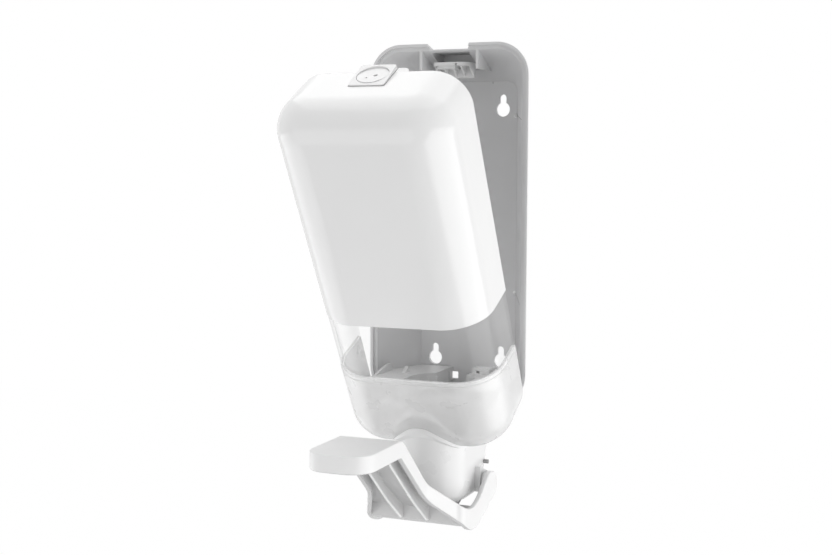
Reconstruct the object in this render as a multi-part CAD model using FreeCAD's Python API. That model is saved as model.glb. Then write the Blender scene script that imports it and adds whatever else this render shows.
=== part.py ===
"""Wall dispenser for liquid soap, worked by a long arm lever and shown with its cover swung open.

The frame has X to the right, -Y to the front and +Z up. The origin lies on the wall,
in the middle of the four mounting keyholes. The solids are written in the open pose.
The cover's own forms are drawn upright, as they stand when it is shut, and then tilted.
Sizes are in millimetres. "Forward" is measured towards -Y.
"""
import os

import FreeCAD
import Part

from math import asin, atan2, cos, degrees, hypot, radians, sin

# Overall form of the dispenser
WIDTH = 112.0
TOP = 129.5
HOUSING_BOTTOM = -114.0
HOUSING_DEPTH = 46.0
OPEN_ANGLE = 28.9

# Gaps and fits between the parts
PART_GAP = 0.3
COVER_GAP = 0.3
PIN_RUNNING_FIT = 0.10
PIN_SEAT_FIT = 0.05
SHELF_FIT = 0.4
CATCH_SIDE_GAP = 0.5
SPOUT_FIT = 0.15
BARREL_FIT = 0.25
CUT_OVER = 1.0
TOLERANCE = 1e-4

# Back housing, a dish that hangs on the wall
HOUSING_CORNER = 22.0
HOUSING_FOOT_CORNER = 25.0
HOUSING_WALL = 2.6
BACK_WALL = 3.0
BACK_WIDTH = 70.4
BACK_TOP_DROP = 22.8
BACK_BOTTOM_RISE = 9.0
BACK_CORNER = 8.0
RIM_BAND = 1.5
RIM_LIP = 1.9
LEDGE_WIDTH = 2.7
LEDGE_DEPTH = 2.0

# Keyholes for the wall screws, and the two square holes for the shelf's clips
KEYHOLE_SPACING_X = 49.0
KEYHOLE_SPACING_Z = 175.0
KEYHOLE_RADIUS = 5.0
KEYHOLE_SLOT_RADIUS = 2.5
KEYHOLE_SLOT_RISE = 7.8
CLIP_HOLE_WIDTH = 5.8
CLIP_HOLE_HEIGHT = 5.1
CLIP_HOLE_SPACING = 19.6
CLIP_HOLE_RISE = 14.5

# Latch pocket and ribs in the top of the housing
POCKET_HALF_WIDTH = 13.3
POCKET_WALL = 1.8
POCKET_DROP = 3.7
POCKET_BACK = -18.5
NOTCH_SLANT = 2.0
HANGING_RIB_X = 20.0
HANGING_RIB_THICKNESS = 2.0
HANGING_RIB_DROP = 17.0
HANGING_RIB_DEPTH = 30.0

# Catch in the pocket, measured back from the housing's front
CATCH_FRONT_BACK = 5.0
CATCH_LENGTH = 14.5
CATCH_DROP = 11.9
CATCH_HEIGHT = 9.8
CATCH_PLATE = 2.4
CATCH_NEAR_CORNER = 3.0
CATCH_FAR_CORNER = 9.0
CATCH_RIBS = 5
CATCH_RIB_THICKNESS = 1.2
CATCH_STEP_WIDTH = 15.5
CATCH_STEP_INSET = 1.6
CATCH_STEP_DEPTH = 1.9
CATCH_FOOT_HALF_WIDTH = 9.0
CATCH_FOOT_HEIGHT = 5.0
CATCH_SLOT_X = 3.0
CATCH_SLOT_WIDTH = 1.6
CATCH_SLOT_DEPTH = 5.0
CATCH_SLOT_TOP = 0.8
CATCH_SLOT_HEIGHT = 4.2

# Bottle shelf in the foot of the housing
SHELF_RISE = 20.5
SHELF_THICKNESS = 2.5
SHELF_PROUD = 34.0
SHELF_HALF_WIDTH = 46.3
SHELF_CORNER = 12.0
SHELF_LIP_HEIGHT = 5.0
SHELF_LIP_WIDTH = 2.0
SHELF_LIP_REAR = 12.0
SHELF_LIP_CREST = 8.0
SHELF_LIP_ROUNDING = 3.0
NECK_RADIUS = 22.0
NECK_FORWARD = 8.0
REAR_SLOT_HALF_WIDTH = 11.0
SKIRT_HEIGHT = 9.0
SKIRT_THICKNESS = 2.0
SKIRT_INSET = 8.0
SKIRT_RIB_RADIUS = 1.4
SKIRT_RIB_FIRST = 30.0
SKIRT_RIB_STEP = 16.0
SKIRT_RIB_COUNT = 3
BRIDGE_FRONT = -30.0
BRIDGE_REAR = -12.0
BLOCK_INNER_X = 13.5
BLOCK_OUTER_X = 26.0
BLOCK_FRONT = -31.0
BLOCK_REAR = -20.0
BLOCK_HEIGHT = 4.0
BLOCK_SLOT_WIDTH = 2.5
BLOCK_SLOT_INSET = 3.0
BLOCK_SLOT_DEPTH = 5.0
BLOCK_SLOT_FLOOR = 0.8
BLOCK_SLOT_HEIGHT = 1.8
HUMP_X = -33.0
HUMP_WIDTH = 2.5
HUMP_LENGTH = 8.0
HUMP_HEIGHT = 4.5
HUMP_BACK = 2.0
SHELF_CLIP_WIDTH = 6.0
SHELF_CLIP_REACH = 7.0
SHELF_CLIP_RISE = 2.0

# Cover, drawn shut
COVER_WALL = 2.5
COVER_OVERHANG = 7.5
COVER_MOUTH = 5.0
FRONT_DEPTH_TOP = 100.0
FRONT_DEPTH_BOTTOM = 96.5
FRONT_CORNER_TOP = 26.0
FRONT_CORNER_BOTTOM = 29.0
TOP_ROUNDING = 22.0
BOTTOM_ROUNDING = 23.0
FOOT_FRONT_HEIGHT = 63.0
FOOT_REAR_HEIGHT = 57.5
WINDOW_FRONT_HEIGHT = 41.5
WINDOW_REAR_HEIGHT = 43.0
WINDOW_RECESS = 0.5

# Cover hinge, its ears on the housing and its cheeks in the cover
HINGE_FORWARD = 5.6
HINGE_RISE = 8.15
HINGE_PIN_RADIUS = 2.5
HINGE_PIN_START = 1.5
EAR_RADIUS = 6.0
EAR_THICKNESS = 3.5
EAR_ROOT = 22.0
EAR_ARM_DROP = 3.0
CHEEK_INSET = 8.5
CHEEK_THICKNESS = 2.5
CHEEK_NOSE_RADIUS = 5.2
CHEEK_NECK = 6.4
CHEEK_LENGTH = 34.4
CHEEK_TOP_RISE = 17.85
CHEEK_TOP_FRONT = 28.4
CHEEK_FRONT_RISE = 1.85
CHEEK_ROUNDING = 6.0
LINER_WALL = 2.0
LINER_START = 5.4
LINER_RISE = 11.0
BRACKET_SPOUT_GAP = 4.5
STOP_PAD_WIDTH = 4.2
STOP_PAD_INSET = 0.8
STOP_PAD_LENGTH = 4.5
STOP_PAD_OVERLAP = 1.9
STOP_PAD_ROOT = 3.0

# Spout housing below the cover, drawn open and placed from the hinge line
SPOUT_HALF_WIDTH = 24.5
SPOUT_FORWARD = 16.8
SPOUT_DROP = 49.0
SPOUT_WALL = 2.2
SPOUT_BOTTOM_ROUNDING = 4.0
SPOUT_MIN_ROUNDING = 0.8
SPOUT_TOP_RISE = 10.85
SPOUT_TOP_REAR = 8.4
SPOUT_REAR = 20.1
SPOUT_REAR_TOP_DROP = 29.15
SPOUT_REAR_FOOT_DROP = 35.15
SPOUT_SHOULDER_REAR = 10.1
SPOUT_SHOULDER_DROP = 9.65
SPOUT_HIP_REAR = 15.1
SPOUT_HIP_RISE = 15.5
SPOUT_HEEL_REAR = 8.1
SPOUT_REAR_ROUNDING = 5.0
SPOUT_PLAN_REAR = 31.6
COLLAR_WIDTH = 2.6
COLLAR_HEIGHT = 1.6
FLANGE_WIDTH = 4.0
FLANGE_THICKNESS = 2.2
FLANGE_REAR_GAP = 3.0
FLANGE_FRONT = 140.0
LUG_INNER_X = 23.9
LUG_OUTER_X = 28.4
LUG_FRONT = 6.0
LUG_REAR = 15.0
LUG_TOP_RISE = 11.0
LUG_REAR_RISE = 3.0
LUG_FOOT_REAR = 9.5
LUG_FOOT_DROP = 7.0
LUG_ROUNDING = 4.0
SPRING_PEG_BACK = 14.8
SPRING_PEG_RISE = 18.9
SPRING_PEG_RADIUS = 1.3
SPRING_PEG_LENGTH = 3.2

# Outlet and pump pusher inside the spout
OUTLET_FORWARD = 3.6
OUTLET_RADIUS = 12.4
OUTLET_SEAT_FIT = 0.1
OUTLET_HEIGHT = 9.0
OUTLET_LIP = 0.8
OUTLET_LIP_HEIGHT = 1.2
GUIDE_RADIUS = 10.0
GUIDE_BORE = 7.6
PUSHER_TOP_RISE = 32.5
PUSHER_CUP_RADIUS = 15.0
PUSHER_PLATE = 2.4
LEG_INNER_X = 13.6
LEG_OUTER_X = 16.4
LEG_HALF_DEPTH = 2.5
LEG_LEAD = 1.6

# Arm lever, drawn open, with its side view placed from its pivot
LEVER_PIVOT_BACK = 3.1
LEVER_PIVOT_RISE = 8.0
LEVER_PIN_RADIUS = 2.5
LEVER_REACH = 172.5
LEVER_RISE = 50.4
PAD_HALF_WIDTH = 19.8
PAD_HEIGHT = 10.5
PAD_CORNER = 14.0
KNEE_FORWARD = 119.0
KNEE_ROUNDING = 12.0
BEND_FORWARD = 79.5
BEND_RISE = 14.8
BEND_ROUNDING = 30.0
TROUGH_FORWARD = 36.8
TROUGH_DROP = 15.1
TROUGH_ROUNDING = 30.0
BOSS_FORWARD = 4.5
BOSS_TOP_FRONT = 7.6
BOSS_TOP_REAR = 5.7
BOSS_REAR = 11.2
BOSS_FOOT_DROP = 7.9
BOSS_FRONT_ROUNDING = 8.0
BOSS_REAR_ROUNDING = 9.0
BOSS_FOOT_ROUNDING = 7.0
HEEL_FORWARD = 36.6
HEEL_DROP = 27.35
HEEL_ROUNDING = 28.0
UNDER_BEND_FORWARD = 75.5
UNDER_BEND_RISE = 1.2
UNDER_BEND_ROUNDING = 40.0
UNDER_KNEE_FORWARD = 121.1
UNDER_KNEE_ROUNDING = 5.0
ARM_HALF_WIDTH = 34.5
ARM_THICKNESS = 3.0
FLARE_START = 81.0
FLARE_START_ROUNDING = 25.0
FLARE_END = 50.5
FLARE_END_ROUNDING = 20.0
LEVER_SKIN = 3.0
LEVER_EDGE = 0.8
PANEL_FORWARD = 51.9
PANEL_THICKNESS = 2.6
WEB_RIB_X = 9.0
WEB_RIB_THICKNESS = 1.8
WEB_RIB_FOOT_DROP = 15.1
HUB_RADIUS = 6.0
LEVER_PIN_SINK = 1.4
LIFT_PEG_FORWARD = 17.5
LIFT_PEG_DROP = 15.5
LIFT_PEG_RADIUS = 2.5
LIFT_PEG_OVERLAP = 0.3

# Return springs on the lever's pins
COIL_RADIUS = 4.2
COIL_WIRE = 0.65
COIL_TURNS = 2.5
COIL_PITCH = 1.5
SPRING_LEG = 9.0

# Lock on the cover's top, placed from the cover's rear
LOCK_SETBACK = 6.7
LOCK_PLATE_HALF_WIDTH = 11.3
LOCK_PLATE_AHEAD = 12.0
LOCK_PLATE_BEHIND = 11.5
LOCK_PLATE_CORNER = 2.0
LOCK_PLATE_FRONT_RISE = 0.7
LOCK_PLATE_REAR_RISE = 2.5
BARREL_RADIUS = 9.6
BARREL_RISE = 1.3
BARREL_SHAFT_RADIUS = 6.0
KEY_HOLE_RADIUS = 1.3
KEY_HOLE_DEPTH = 3.0
KEY_HOLE_X = 2.0
KEY_HOLE_AHEAD = 0.5
MARK_HOLE_RADIUS = 0.65
MARK_HOLE_X = -2.8
MARK_HOLE_AHEAD = 3.5
RING_RADIUS = 11.0
RING_HEIGHT = 2.0
CAM_DROP = 5.1
CAM_HEIGHT = 2.6
CAM_RADIUS = 8.6
CAM_HUB_RADIUS = 5.0
CAM_HALF_TURN = 14.0

# Latch hook below the lock, its guide and its springs
HOOK_HALF_WIDTH = 11.5
HOOK_DROP = 8.0
HOOK_THICKNESS = 1.6
HOOK_AHEAD = 13.0
HOOK_OVERREACH = 3.0
HOOK_FRONT_CORNER = 2.0
HOOK_REAR_CORNER = 5.0
BARB_LENGTH = 2.4
BARB_INSET = 3.0
BARB_CLEARANCE = 0.4
LATCH_TRAVEL = 1.8
RAMP_INNER_RADIUS = 5.8
RAMP_TURN = 90.0
RAMP_LEAD_IN = 1.0
RAMP_ROOT = 0.5
GUIDE_WALL = 1.8
GUIDE_REAR_GAP = 1.2
SPRING_SEAT_X = 8.2
SPRING_SEAT_AHEAD = 8.6
SPRING_SEAT_DEPTH = 5.0
SPRING_CUP_RADIUS = 3.6
SPRING_CUP_WALL = 1.0
SPRING_RADIUS = 2.2
SPRING_WIRE = 0.35
SPRING_TURNS = 6.0
SPRING_END_GAP = 0.1

# Places that follow from the sizes above
HOUSING_FRONT = -HOUSING_DEPTH
POCKET_TOP = TOP - POCKET_DROP
CATCH_FRONT = HOUSING_FRONT + CATCH_FRONT_BACK
CATCH_BACK = CATCH_FRONT + CATCH_LENGTH
CATCH_TOP = TOP - CATCH_DROP
CATCH_BOTTOM = CATCH_TOP - CATCH_HEIGHT
SHELF_TOP = HOUSING_BOTTOM + SHELF_RISE
SHELF_FRONT = HOUSING_FRONT - SHELF_PROUD
NECK_Y = HOUSING_FRONT - NECK_FORWARD
COVER_REAR = HOUSING_FRONT - COVER_GAP
COVER_BOTTOM = HOUSING_BOTTOM - COVER_OVERHANG
COVER_FLOOR = COVER_BOTTOM + COVER_WALL
HINGE_Y = HOUSING_FRONT - HINGE_FORWARD
HINGE_Z = HOUSING_BOTTOM + HINGE_RISE
CHEEK_INNER_X = WIDTH / 2 - CHEEK_INSET
EAR_INNER_X = CHEEK_INNER_X - PART_GAP - EAR_THICKNESS
SPOUT_Y = HINGE_Y - SPOUT_FORWARD
SPOUT_BOTTOM = COVER_BOTTOM - SPOUT_DROP
OUTLET_Y = SPOUT_Y - OUTLET_FORWARD
PIVOT_Y = HINGE_Y + LEVER_PIVOT_BACK
PIVOT_Z = SPOUT_BOTTOM + LEVER_PIVOT_RISE
LEVER_FRONT = PIVOT_Y - LEVER_REACH
LEVER_TOP = PIVOT_Z + LEVER_RISE
PAD_BOTTOM = LEVER_TOP - PAD_HEIGHT
PANEL_FRONT = PIVOT_Y - PANEL_FORWARD
PANEL_REAR = PANEL_FRONT + PANEL_THICKNESS
LIFT_PEG_Y = PIVOT_Y - LIFT_PEG_FORWARD
LIFT_PEG_Z = PIVOT_Z - LIFT_PEG_DROP
LEG_Y = LIFT_PEG_Y - LEG_LEAD
PUSHER_TOP = SPOUT_BOTTOM + PUSHER_TOP_RISE
COIL_START_X = LEG_OUTER_X + PART_GAP + COIL_WIRE
PIN_END_X = ARM_HALF_WIDTH - LEVER_PIN_SINK
LOCK_Y = COVER_REAR - LOCK_SETBACK
ROOF_UNDER = TOP - COVER_WALL
BARREL_TOP = TOP + BARREL_RISE
CAM_TOP = TOP - CAM_DROP
CAM_BOTTOM = CAM_TOP - CAM_HEIGHT
HOOK_TOP = TOP - HOOK_DROP
HOOK_UNDER = HOOK_TOP - HOOK_THICKNESS
HOOK_FRONT = LOCK_Y - HOOK_AHEAD
HOOK_REAR = CATCH_BACK + HOOK_OVERREACH
BARB_BOTTOM = CATCH_TOP + BARB_CLEARANCE
GUIDE_FLOOR = HOOK_UNDER - LATCH_TRAVEL - PART_GAP
SPRING_SEAT_Y = LOCK_Y - SPRING_SEAT_AHEAD


# Drawing helpers

def vec(x, y, z):
    return FreeCAD.Vector(x, y, z)


def box(x0, x1, y0, y1, z0, z1):
    return Part.makeBox(x1 - x0, y1 - y0, z1 - z0, vec(x0, y0, z0))


def rod_x(y, z, radius, x0, x1):
    return Part.makeCylinder(radius, x1 - x0, vec(x0, y, z), vec(1, 0, 0))


def rod_y(x, z, radius, y0, y1):
    return Part.makeCylinder(radius, y1 - y0, vec(x, y0, z), vec(0, 1, 0))


def rod_z(x, y, radius, z0, z1):
    return Part.makeCylinder(radius, z1 - z0, vec(x, y, z0), vec(0, 0, 1))


def on_plane(plane, level, u, v):
    """Places a flat point on the plane xy, xz or yz, at its level along the third axis."""
    if plane == "xy":
        return vec(u, v, level)
    if plane == "xz":
        return vec(u, level, v)
    return vec(level, u, v)


def corner_points(before, corner, after):
    """Gives the start, middle and end of the tangent arc that rounds one corner."""
    u, v, radius = corner
    first = (before[0] - u, before[1] - v)
    second = (after[0] - u, after[1] - v)
    first = (first[0] / hypot(*first), first[1] / hypot(*first))
    second = (second[0] / hypot(*second), second[1] / hypot(*second))
    middle = (first[0] + second[0], first[1] + second[1])
    length = hypot(*middle)
    middle = (middle[0] / length, middle[1] / length)
    half_cos = first[0] * middle[0] + first[1] * middle[1]
    half_sin = (1.0 - half_cos * half_cos) ** 0.5
    reach = radius * half_cos / half_sin
    inward = radius / half_sin - radius
    start = (u + first[0] * reach, v + first[1] * reach)
    end = (u + second[0] * reach, v + second[1] * reach)
    return start, (u + middle[0] * inward, v + middle[1] * inward), end


def rounded_wire(plane, level, corners):
    """Closes a wire through (u, v, radius) corners, with an arc wherever the radius isn't 0."""
    edges = []
    stops = []
    for index, corner in enumerate(corners):
        if corner[2] > 0:
            after = corners[(index + 1) % len(corners)]
            arc = [on_plane(plane, level, *p) for p in corner_points(corners[index - 1], corner, after)]
            edges.append(Part.Arc(*arc).toShape())
            stops.append((arc[0], arc[2]))
        else:
            point = on_plane(plane, level, corner[0], corner[1])
            stops.append((point, point))
    for index, (start, _) in enumerate(stops):
        previous_end = stops[index - 1][1]
        if previous_end.distanceToPoint(start) > TOLERANCE:
            edges.append(Part.makeLine(previous_end, start))
    return Part.Wire(Part.__sortEdges__(edges))


def prism(plane, corners, level0, level1):
    """Extrudes a rounded outline from one level of its plane to another."""
    face = Part.Face(rounded_wire(plane, level0, corners))
    rise = level1 - level0
    direction = {"xy": vec(0, 0, rise), "xz": vec(0, rise, 0), "yz": vec(rise, 0, 0)}[plane]
    return face.extrude(direction)


def mirrored(shape):
    return shape.mirror(vec(0, 0, 0), vec(1, 0, 0))


def level_edges(solid, level, rear):
    """Finds the edges that lie flat at a level and start in front of the rear."""
    found = []
    for edge in solid.Edges:
        span = edge.BoundBox
        flat = abs(span.ZMin - level) < TOLERANCE and abs(span.ZMax - level) < TOLERANCE
        if flat and span.YMin < rear - 2 * TOLERANCE:
            found.append(edge)
    return found


def both_sides(shape):
    """Joins a shape on the right with its mirror image on the left."""
    return shape.fuse(mirrored(shape))


def tilted(shape):
    """Swings a form of the shut cover forward to the open pose."""
    turned = shape.copy()
    turned.rotate(vec(0, HINGE_Y, HINGE_Z), vec(1, 0, 0), OPEN_ANGLE)
    return turned


def opened(y, z):
    """Gives where a point of the shut cover stands when it is open."""
    turn = radians(OPEN_ANGLE)
    ahead, above = y - HINGE_Y, z - HINGE_Z
    return HINGE_Y + ahead * cos(turn) - above * sin(turn), HINGE_Z + ahead * sin(turn) + above * cos(turn)


# Back housing

def dish_outline(y, half_width, top, bottom, corner, foot_corner):
    corners = [(-half_width, bottom, foot_corner), (half_width, bottom, foot_corner)]
    corners += [(half_width, top, corner), (-half_width, top, corner)]
    return rounded_wire("xz", y, corners)


def rim_outline(y, inset):
    return dish_outline(y, WIDTH / 2 - inset, TOP - inset, HOUSING_BOTTOM + inset,
                        HOUSING_CORNER - inset, HOUSING_FOOT_CORNER - inset)


def back_outline(y, grow):
    corner = BACK_CORNER + grow
    return dish_outline(y, BACK_WIDTH / 2 + grow, TOP - BACK_TOP_DROP + grow,
                        HOUSING_BOTTOM + BACK_BOTTOM_RISE - grow, corner, corner)


def dish_outside():
    band = [rim_outline(HOUSING_FRONT, 0.0), rim_outline(HOUSING_FRONT + RIM_BAND, 0.0)]
    slope = [band[1], back_outline(0.0, HOUSING_WALL)]
    return Part.makeLoft(band, True, True).fuse(Part.makeLoft(slope, True, True))


def dish_inside():
    ledge_y = HOUSING_FRONT + LEDGE_DEPTH
    lip = [rim_outline(HOUSING_FRONT - CUT_OVER, RIM_LIP), rim_outline(ledge_y, RIM_LIP)]
    room = [rim_outline(ledge_y, RIM_LIP + LEDGE_WIDTH), back_outline(-BACK_WALL, 0.0)]
    return Part.makeLoft(lip, True, True).fuse(Part.makeLoft(room, True, True))


def pocket_block(inset, front, back):
    """Gives the box of the latch pocket, smaller by an inset at its sides and top."""
    half = POCKET_HALF_WIDTH + POCKET_WALL - inset
    return box(-half, half, front, back, TOP - BACK_TOP_DROP - CUT_OVER, POCKET_TOP - inset)


def rim_notch():
    half = POCKET_HALF_WIDTH
    corners = [(-half, POCKET_TOP, 0), (half, POCKET_TOP, 0)]
    corners += [(half + NOTCH_SLANT, TOP + CUT_OVER, 0), (-half - NOTCH_SLANT, TOP + CUT_OVER, 0)]
    return prism("xz", corners, HOUSING_FRONT - CUT_OVER, POCKET_BACK)


def keyhole(x, z):
    y0, y1 = -BACK_WALL - CUT_OVER, CUT_OVER
    entry = rod_y(x, z, KEYHOLE_RADIUS, y0, y1)
    slot = box(x - KEYHOLE_SLOT_RADIUS, x + KEYHOLE_SLOT_RADIUS, y0, y1, z, z + KEYHOLE_SLOT_RISE)
    end = rod_y(x, z + KEYHOLE_SLOT_RISE, KEYHOLE_SLOT_RADIUS, y0, y1)
    return entry.fuse([slot, end])


def keyholes():
    cuts = []
    for x in (-KEYHOLE_SPACING_X / 2, KEYHOLE_SPACING_X / 2):
        for z in (-KEYHOLE_SPACING_Z / 2, KEYHOLE_SPACING_Z / 2):
            cuts.append(keyhole(x, z))
    return cuts


def clip_holes():
    """Cuts the two square holes that take the clips of the bottle shelf."""
    x = CLIP_HOLE_SPACING / 2
    z = HOUSING_BOTTOM + CLIP_HOLE_RISE
    half_w, half_h = CLIP_HOLE_WIDTH / 2, CLIP_HOLE_HEIGHT / 2
    hole = box(x - half_w, x + half_w, -BACK_WALL - CUT_OVER, CUT_OVER, z - half_h, z + half_h)
    return [hole, mirrored(hole)]


def hanging_ribs():
    half = HANGING_RIB_THICKNESS / 2
    rib = box(HANGING_RIB_X - half, HANGING_RIB_X + half, HOUSING_FRONT + LEDGE_DEPTH,
              HOUSING_FRONT + HANGING_RIB_DEPTH, TOP - HANGING_RIB_DROP, TOP - RIM_LIP)
    return both_sides(rib)


def hinge_ear():
    """Draws the right ear that stands forward of the rim and carries a hinge pin."""
    x0, x1 = EAR_INNER_X, EAR_INNER_X + EAR_THICKNESS
    nose = rod_x(HINGE_Y, HINGE_Z, EAR_RADIUS, x0, x1)
    arm = box(x0, x1, HINGE_Y, HINGE_Y + EAR_ROOT, HINGE_Z - EAR_ARM_DROP, HINGE_Z + EAR_RADIUS)
    bore = rod_x(HINGE_Y, HINGE_Z, HINGE_PIN_RADIUS + PIN_SEAT_FIT, x0 - CUT_OVER, x1 + CUT_OVER)
    return nose.fuse(arm).cut(bore)


def stop_pad():
    """Draws the pad under the housing on which the inner edge of the open cover's foot rests."""
    rest_y, rest_z = opened(COVER_REAR, COVER_FLOOR)
    front = rest_y - STOP_PAD_OVERLAP
    outer = WIDTH / 2 - BOTTOM_ROUNDING - STOP_PAD_INSET
    return box(outer - STOP_PAD_WIDTH, outer, front, front + STOP_PAD_LENGTH,
               rest_z + PART_GAP, HOUSING_BOTTOM + STOP_PAD_ROOT)


def back_housing():
    outside = dish_outside()
    shell = outside.cut(rim_notch())
    shell = shell.fuse(pocket_block(0.0, HOUSING_FRONT, POCKET_BACK + POCKET_WALL))
    cavity = dish_inside().fuse(pocket_block(POCKET_WALL, HOUSING_FRONT - CUT_OVER, POCKET_BACK))
    shell = shell.cut(cavity)
    ears = both_sides(hinge_ear())
    inner_ears = ears.common(outside)
    outer_ears = ears.cut(box(-WIDTH, WIDTH, HOUSING_FRONT, 0.0, 2 * HOUSING_BOTTOM, 0.0))
    ribs = hanging_ribs().common(outside)
    pads = both_sides(stop_pad()).cut(cavity)
    shell = shell.fuse([inner_ears, outer_ears, ribs, pads])
    return shell.cut(keyholes() + clip_holes()).removeSplitter()


def hinge_pins():
    pin = rod_x(HINGE_Y, HINGE_Z, HINGE_PIN_RADIUS, EAR_INNER_X - HINGE_PIN_START,
                CHEEK_INNER_X + CHEEK_THICKNESS)
    return [pin, mirrored(pin)]


# Catch in the housing's pocket

def catch_half_width():
    return POCKET_HALF_WIDTH - CATCH_SIDE_GAP


def catch_plan(inset, z0, z1):
    """Draws the catch's outline from above, with its far front corner well rounded."""
    half = catch_half_width() - inset
    front = CATCH_FRONT + inset
    outline = [(-half, front, CATCH_NEAR_CORNER), (half, front, CATCH_FAR_CORNER),
               (half, CATCH_BACK, 0), (-half, CATCH_BACK, 0)]
    return prism("xy", outline, z0, z1)


def catch_rib(x):
    """Draws one triangular rib under the catch's plate, deepest at the back."""
    deep = CATCH_BACK - CATCH_PLATE / 2
    corners = [(CATCH_FRONT + CATCH_STEP_INSET, CATCH_TOP - CATCH_PLATE / 2, 0),
               (deep, CATCH_TOP - CATCH_PLATE / 2, 0), (deep, CATCH_BOTTOM, 0)]
    return prism("yz", corners, x - CATCH_RIB_THICKNESS / 2, x + CATCH_RIB_THICKNESS / 2)


def lock_catch():
    """Draws the bracket that the latch hooks over, with its skirt and triangular ribs."""
    half = catch_half_width()
    plate = catch_plan(0.0, CATCH_TOP - CATCH_PLATE, CATCH_TOP)
    step_low = CATCH_TOP - CATCH_PLATE - CATCH_STEP_DEPTH
    step = catch_plan(CATCH_STEP_INSET, step_low, CATCH_TOP - CATCH_PLATE)
    step = step.common(box(-half, CATCH_STEP_WIDTH - half, CATCH_FRONT, CATCH_BACK, step_low, CATCH_TOP))
    skirt = box(-half, half, CATCH_BACK - CATCH_PLATE, CATCH_BACK, CATCH_BOTTOM, CATCH_TOP)
    inner = half - CATCH_RIB_THICKNESS / 2
    pitch = 2 * inner / (CATCH_RIBS - 1)
    ribs = [catch_rib(-inner + index * pitch) for index in range(CATCH_RIBS)]
    ribs = [rib.common(catch_plan(0.0, CATCH_BOTTOM, CATCH_TOP)) for rib in ribs]
    foot = box(-CATCH_FOOT_HALF_WIDTH, CATCH_FOOT_HALF_WIDTH, CATCH_BACK, POCKET_BACK,
               CATCH_BOTTOM, CATCH_BOTTOM + CATCH_FOOT_HEIGHT)
    slot_top = CATCH_TOP - CATCH_SLOT_TOP
    slot = box(CATCH_SLOT_X, CATCH_SLOT_X + CATCH_SLOT_WIDTH, CATCH_FRONT - CUT_OVER,
               CATCH_FRONT + CATCH_SLOT_DEPTH, slot_top - CATCH_SLOT_HEIGHT, slot_top)
    return plate.fuse([step, skirt, foot] + ribs).cut(slot).removeSplitter()


# Bottle shelf in the foot of the housing

def shelf_wall_limit(y):
    """Half width inside the housing at a depth, less the fit of the shelf."""
    mouth_y = HOUSING_FRONT + LEDGE_DEPTH
    mouth = WIDTH / 2 - RIM_LIP - LEDGE_WIDTH
    share = (y + BACK_WALL) / (mouth_y + BACK_WALL)
    return BACK_WIDTH / 2 + (mouth - BACK_WIDTH / 2) * share - SHELF_FIT


def shelf_outline(inset):
    """Lists the corners of the shelf, seen from above, drawn in by an inset."""
    rear = -BACK_WALL - SHELF_FIT - inset
    half = SHELF_HALF_WIDTH - inset
    slope = (shelf_wall_limit(HOUSING_FRONT) - shelf_wall_limit(0.0)) / HOUSING_FRONT
    bend_y = (half + inset - shelf_wall_limit(0.0)) / slope
    rear_half = shelf_wall_limit(rear) - inset
    front = SHELF_FRONT + inset
    return [(-rear_half, rear, 0), (-half, bend_y, 0), (-half, front, SHELF_CORNER),
            (half, front, SHELF_CORNER), (half, bend_y, 0), (rear_half, rear, 0)]


def neck_cut(grow, z0, z1):
    """Gives the U that the bottle's neck slides into, from the front, and the slot behind it."""
    radius = NECK_RADIUS + grow
    mouth = box(-radius, radius, SHELF_FRONT - CUT_OVER, NECK_Y, z0, z1)
    slot = REAR_SLOT_HALF_WIDTH + grow
    rear = box(-slot, slot, NECK_Y, 0.0, z0, z1)
    return rod_z(0.0, NECK_Y, radius, z0, z1).fuse([mouth, rear])


def shelf_lip():
    """Draws the wedge along the left edge that rises towards the back."""
    low = SHELF_TOP - SHELF_THICKNESS / 2
    high = SHELF_TOP + SHELF_LIP_HEIGHT
    rear = HOUSING_FRONT + SHELF_LIP_REAR
    corners = [(SHELF_FRONT + SHELF_CORNER, low, 0), (rear, low, 0), (rear, high, SHELF_LIP_ROUNDING),
               (rear - SHELF_LIP_CREST, high, SHELF_LIP_ROUNDING)]
    return prism("yz", corners, -SHELF_HALF_WIDTH, -SHELF_HALF_WIDTH + SHELF_LIP_WIDTH)


def shelf_skirt(foot, base):
    """Draws the wall below the plate round the neck's U, with its ribs and the bridge behind it."""
    wall = prism("xy", shelf_outline(SKIRT_INSET), foot, base)
    wall = wall.common(neck_cut(SKIRT_THICKNESS, foot, base))
    wall = wall.cut(neck_cut(0.0, foot - CUT_OVER, base + CUT_OVER))
    bridge_half = REAR_SLOT_HALF_WIDTH + SKIRT_THICKNESS
    pieces = [box(-bridge_half, bridge_half, BRIDGE_FRONT, BRIDGE_REAR, foot, foot + SKIRT_THICKNESS)]
    middle = NECK_RADIUS + SKIRT_THICKNESS / 2
    for index in range(SKIRT_RIB_COUNT):
        turn = radians(SKIRT_RIB_FIRST + index * SKIRT_RIB_STEP)
        rib = rod_z(middle * sin(turn), NECK_Y + middle * cos(turn), SKIRT_RIB_RADIUS, foot, base)
        pieces.append(both_sides(rib))
    return wall.fuse(pieces)


def shelf_block():
    """Draws the small block on the right of the shelf, with the slot in its front."""
    block = box(BLOCK_INNER_X, BLOCK_OUTER_X, BLOCK_FRONT, BLOCK_REAR, SHELF_TOP, SHELF_TOP + BLOCK_HEIGHT)
    x0 = BLOCK_INNER_X + BLOCK_SLOT_INSET
    z0 = SHELF_TOP + BLOCK_SLOT_FLOOR
    slot = box(x0, x0 + BLOCK_SLOT_WIDTH, BLOCK_FRONT - CUT_OVER, BLOCK_FRONT + BLOCK_SLOT_DEPTH,
               z0, z0 + BLOCK_SLOT_HEIGHT)
    return block.cut(slot)


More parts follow.
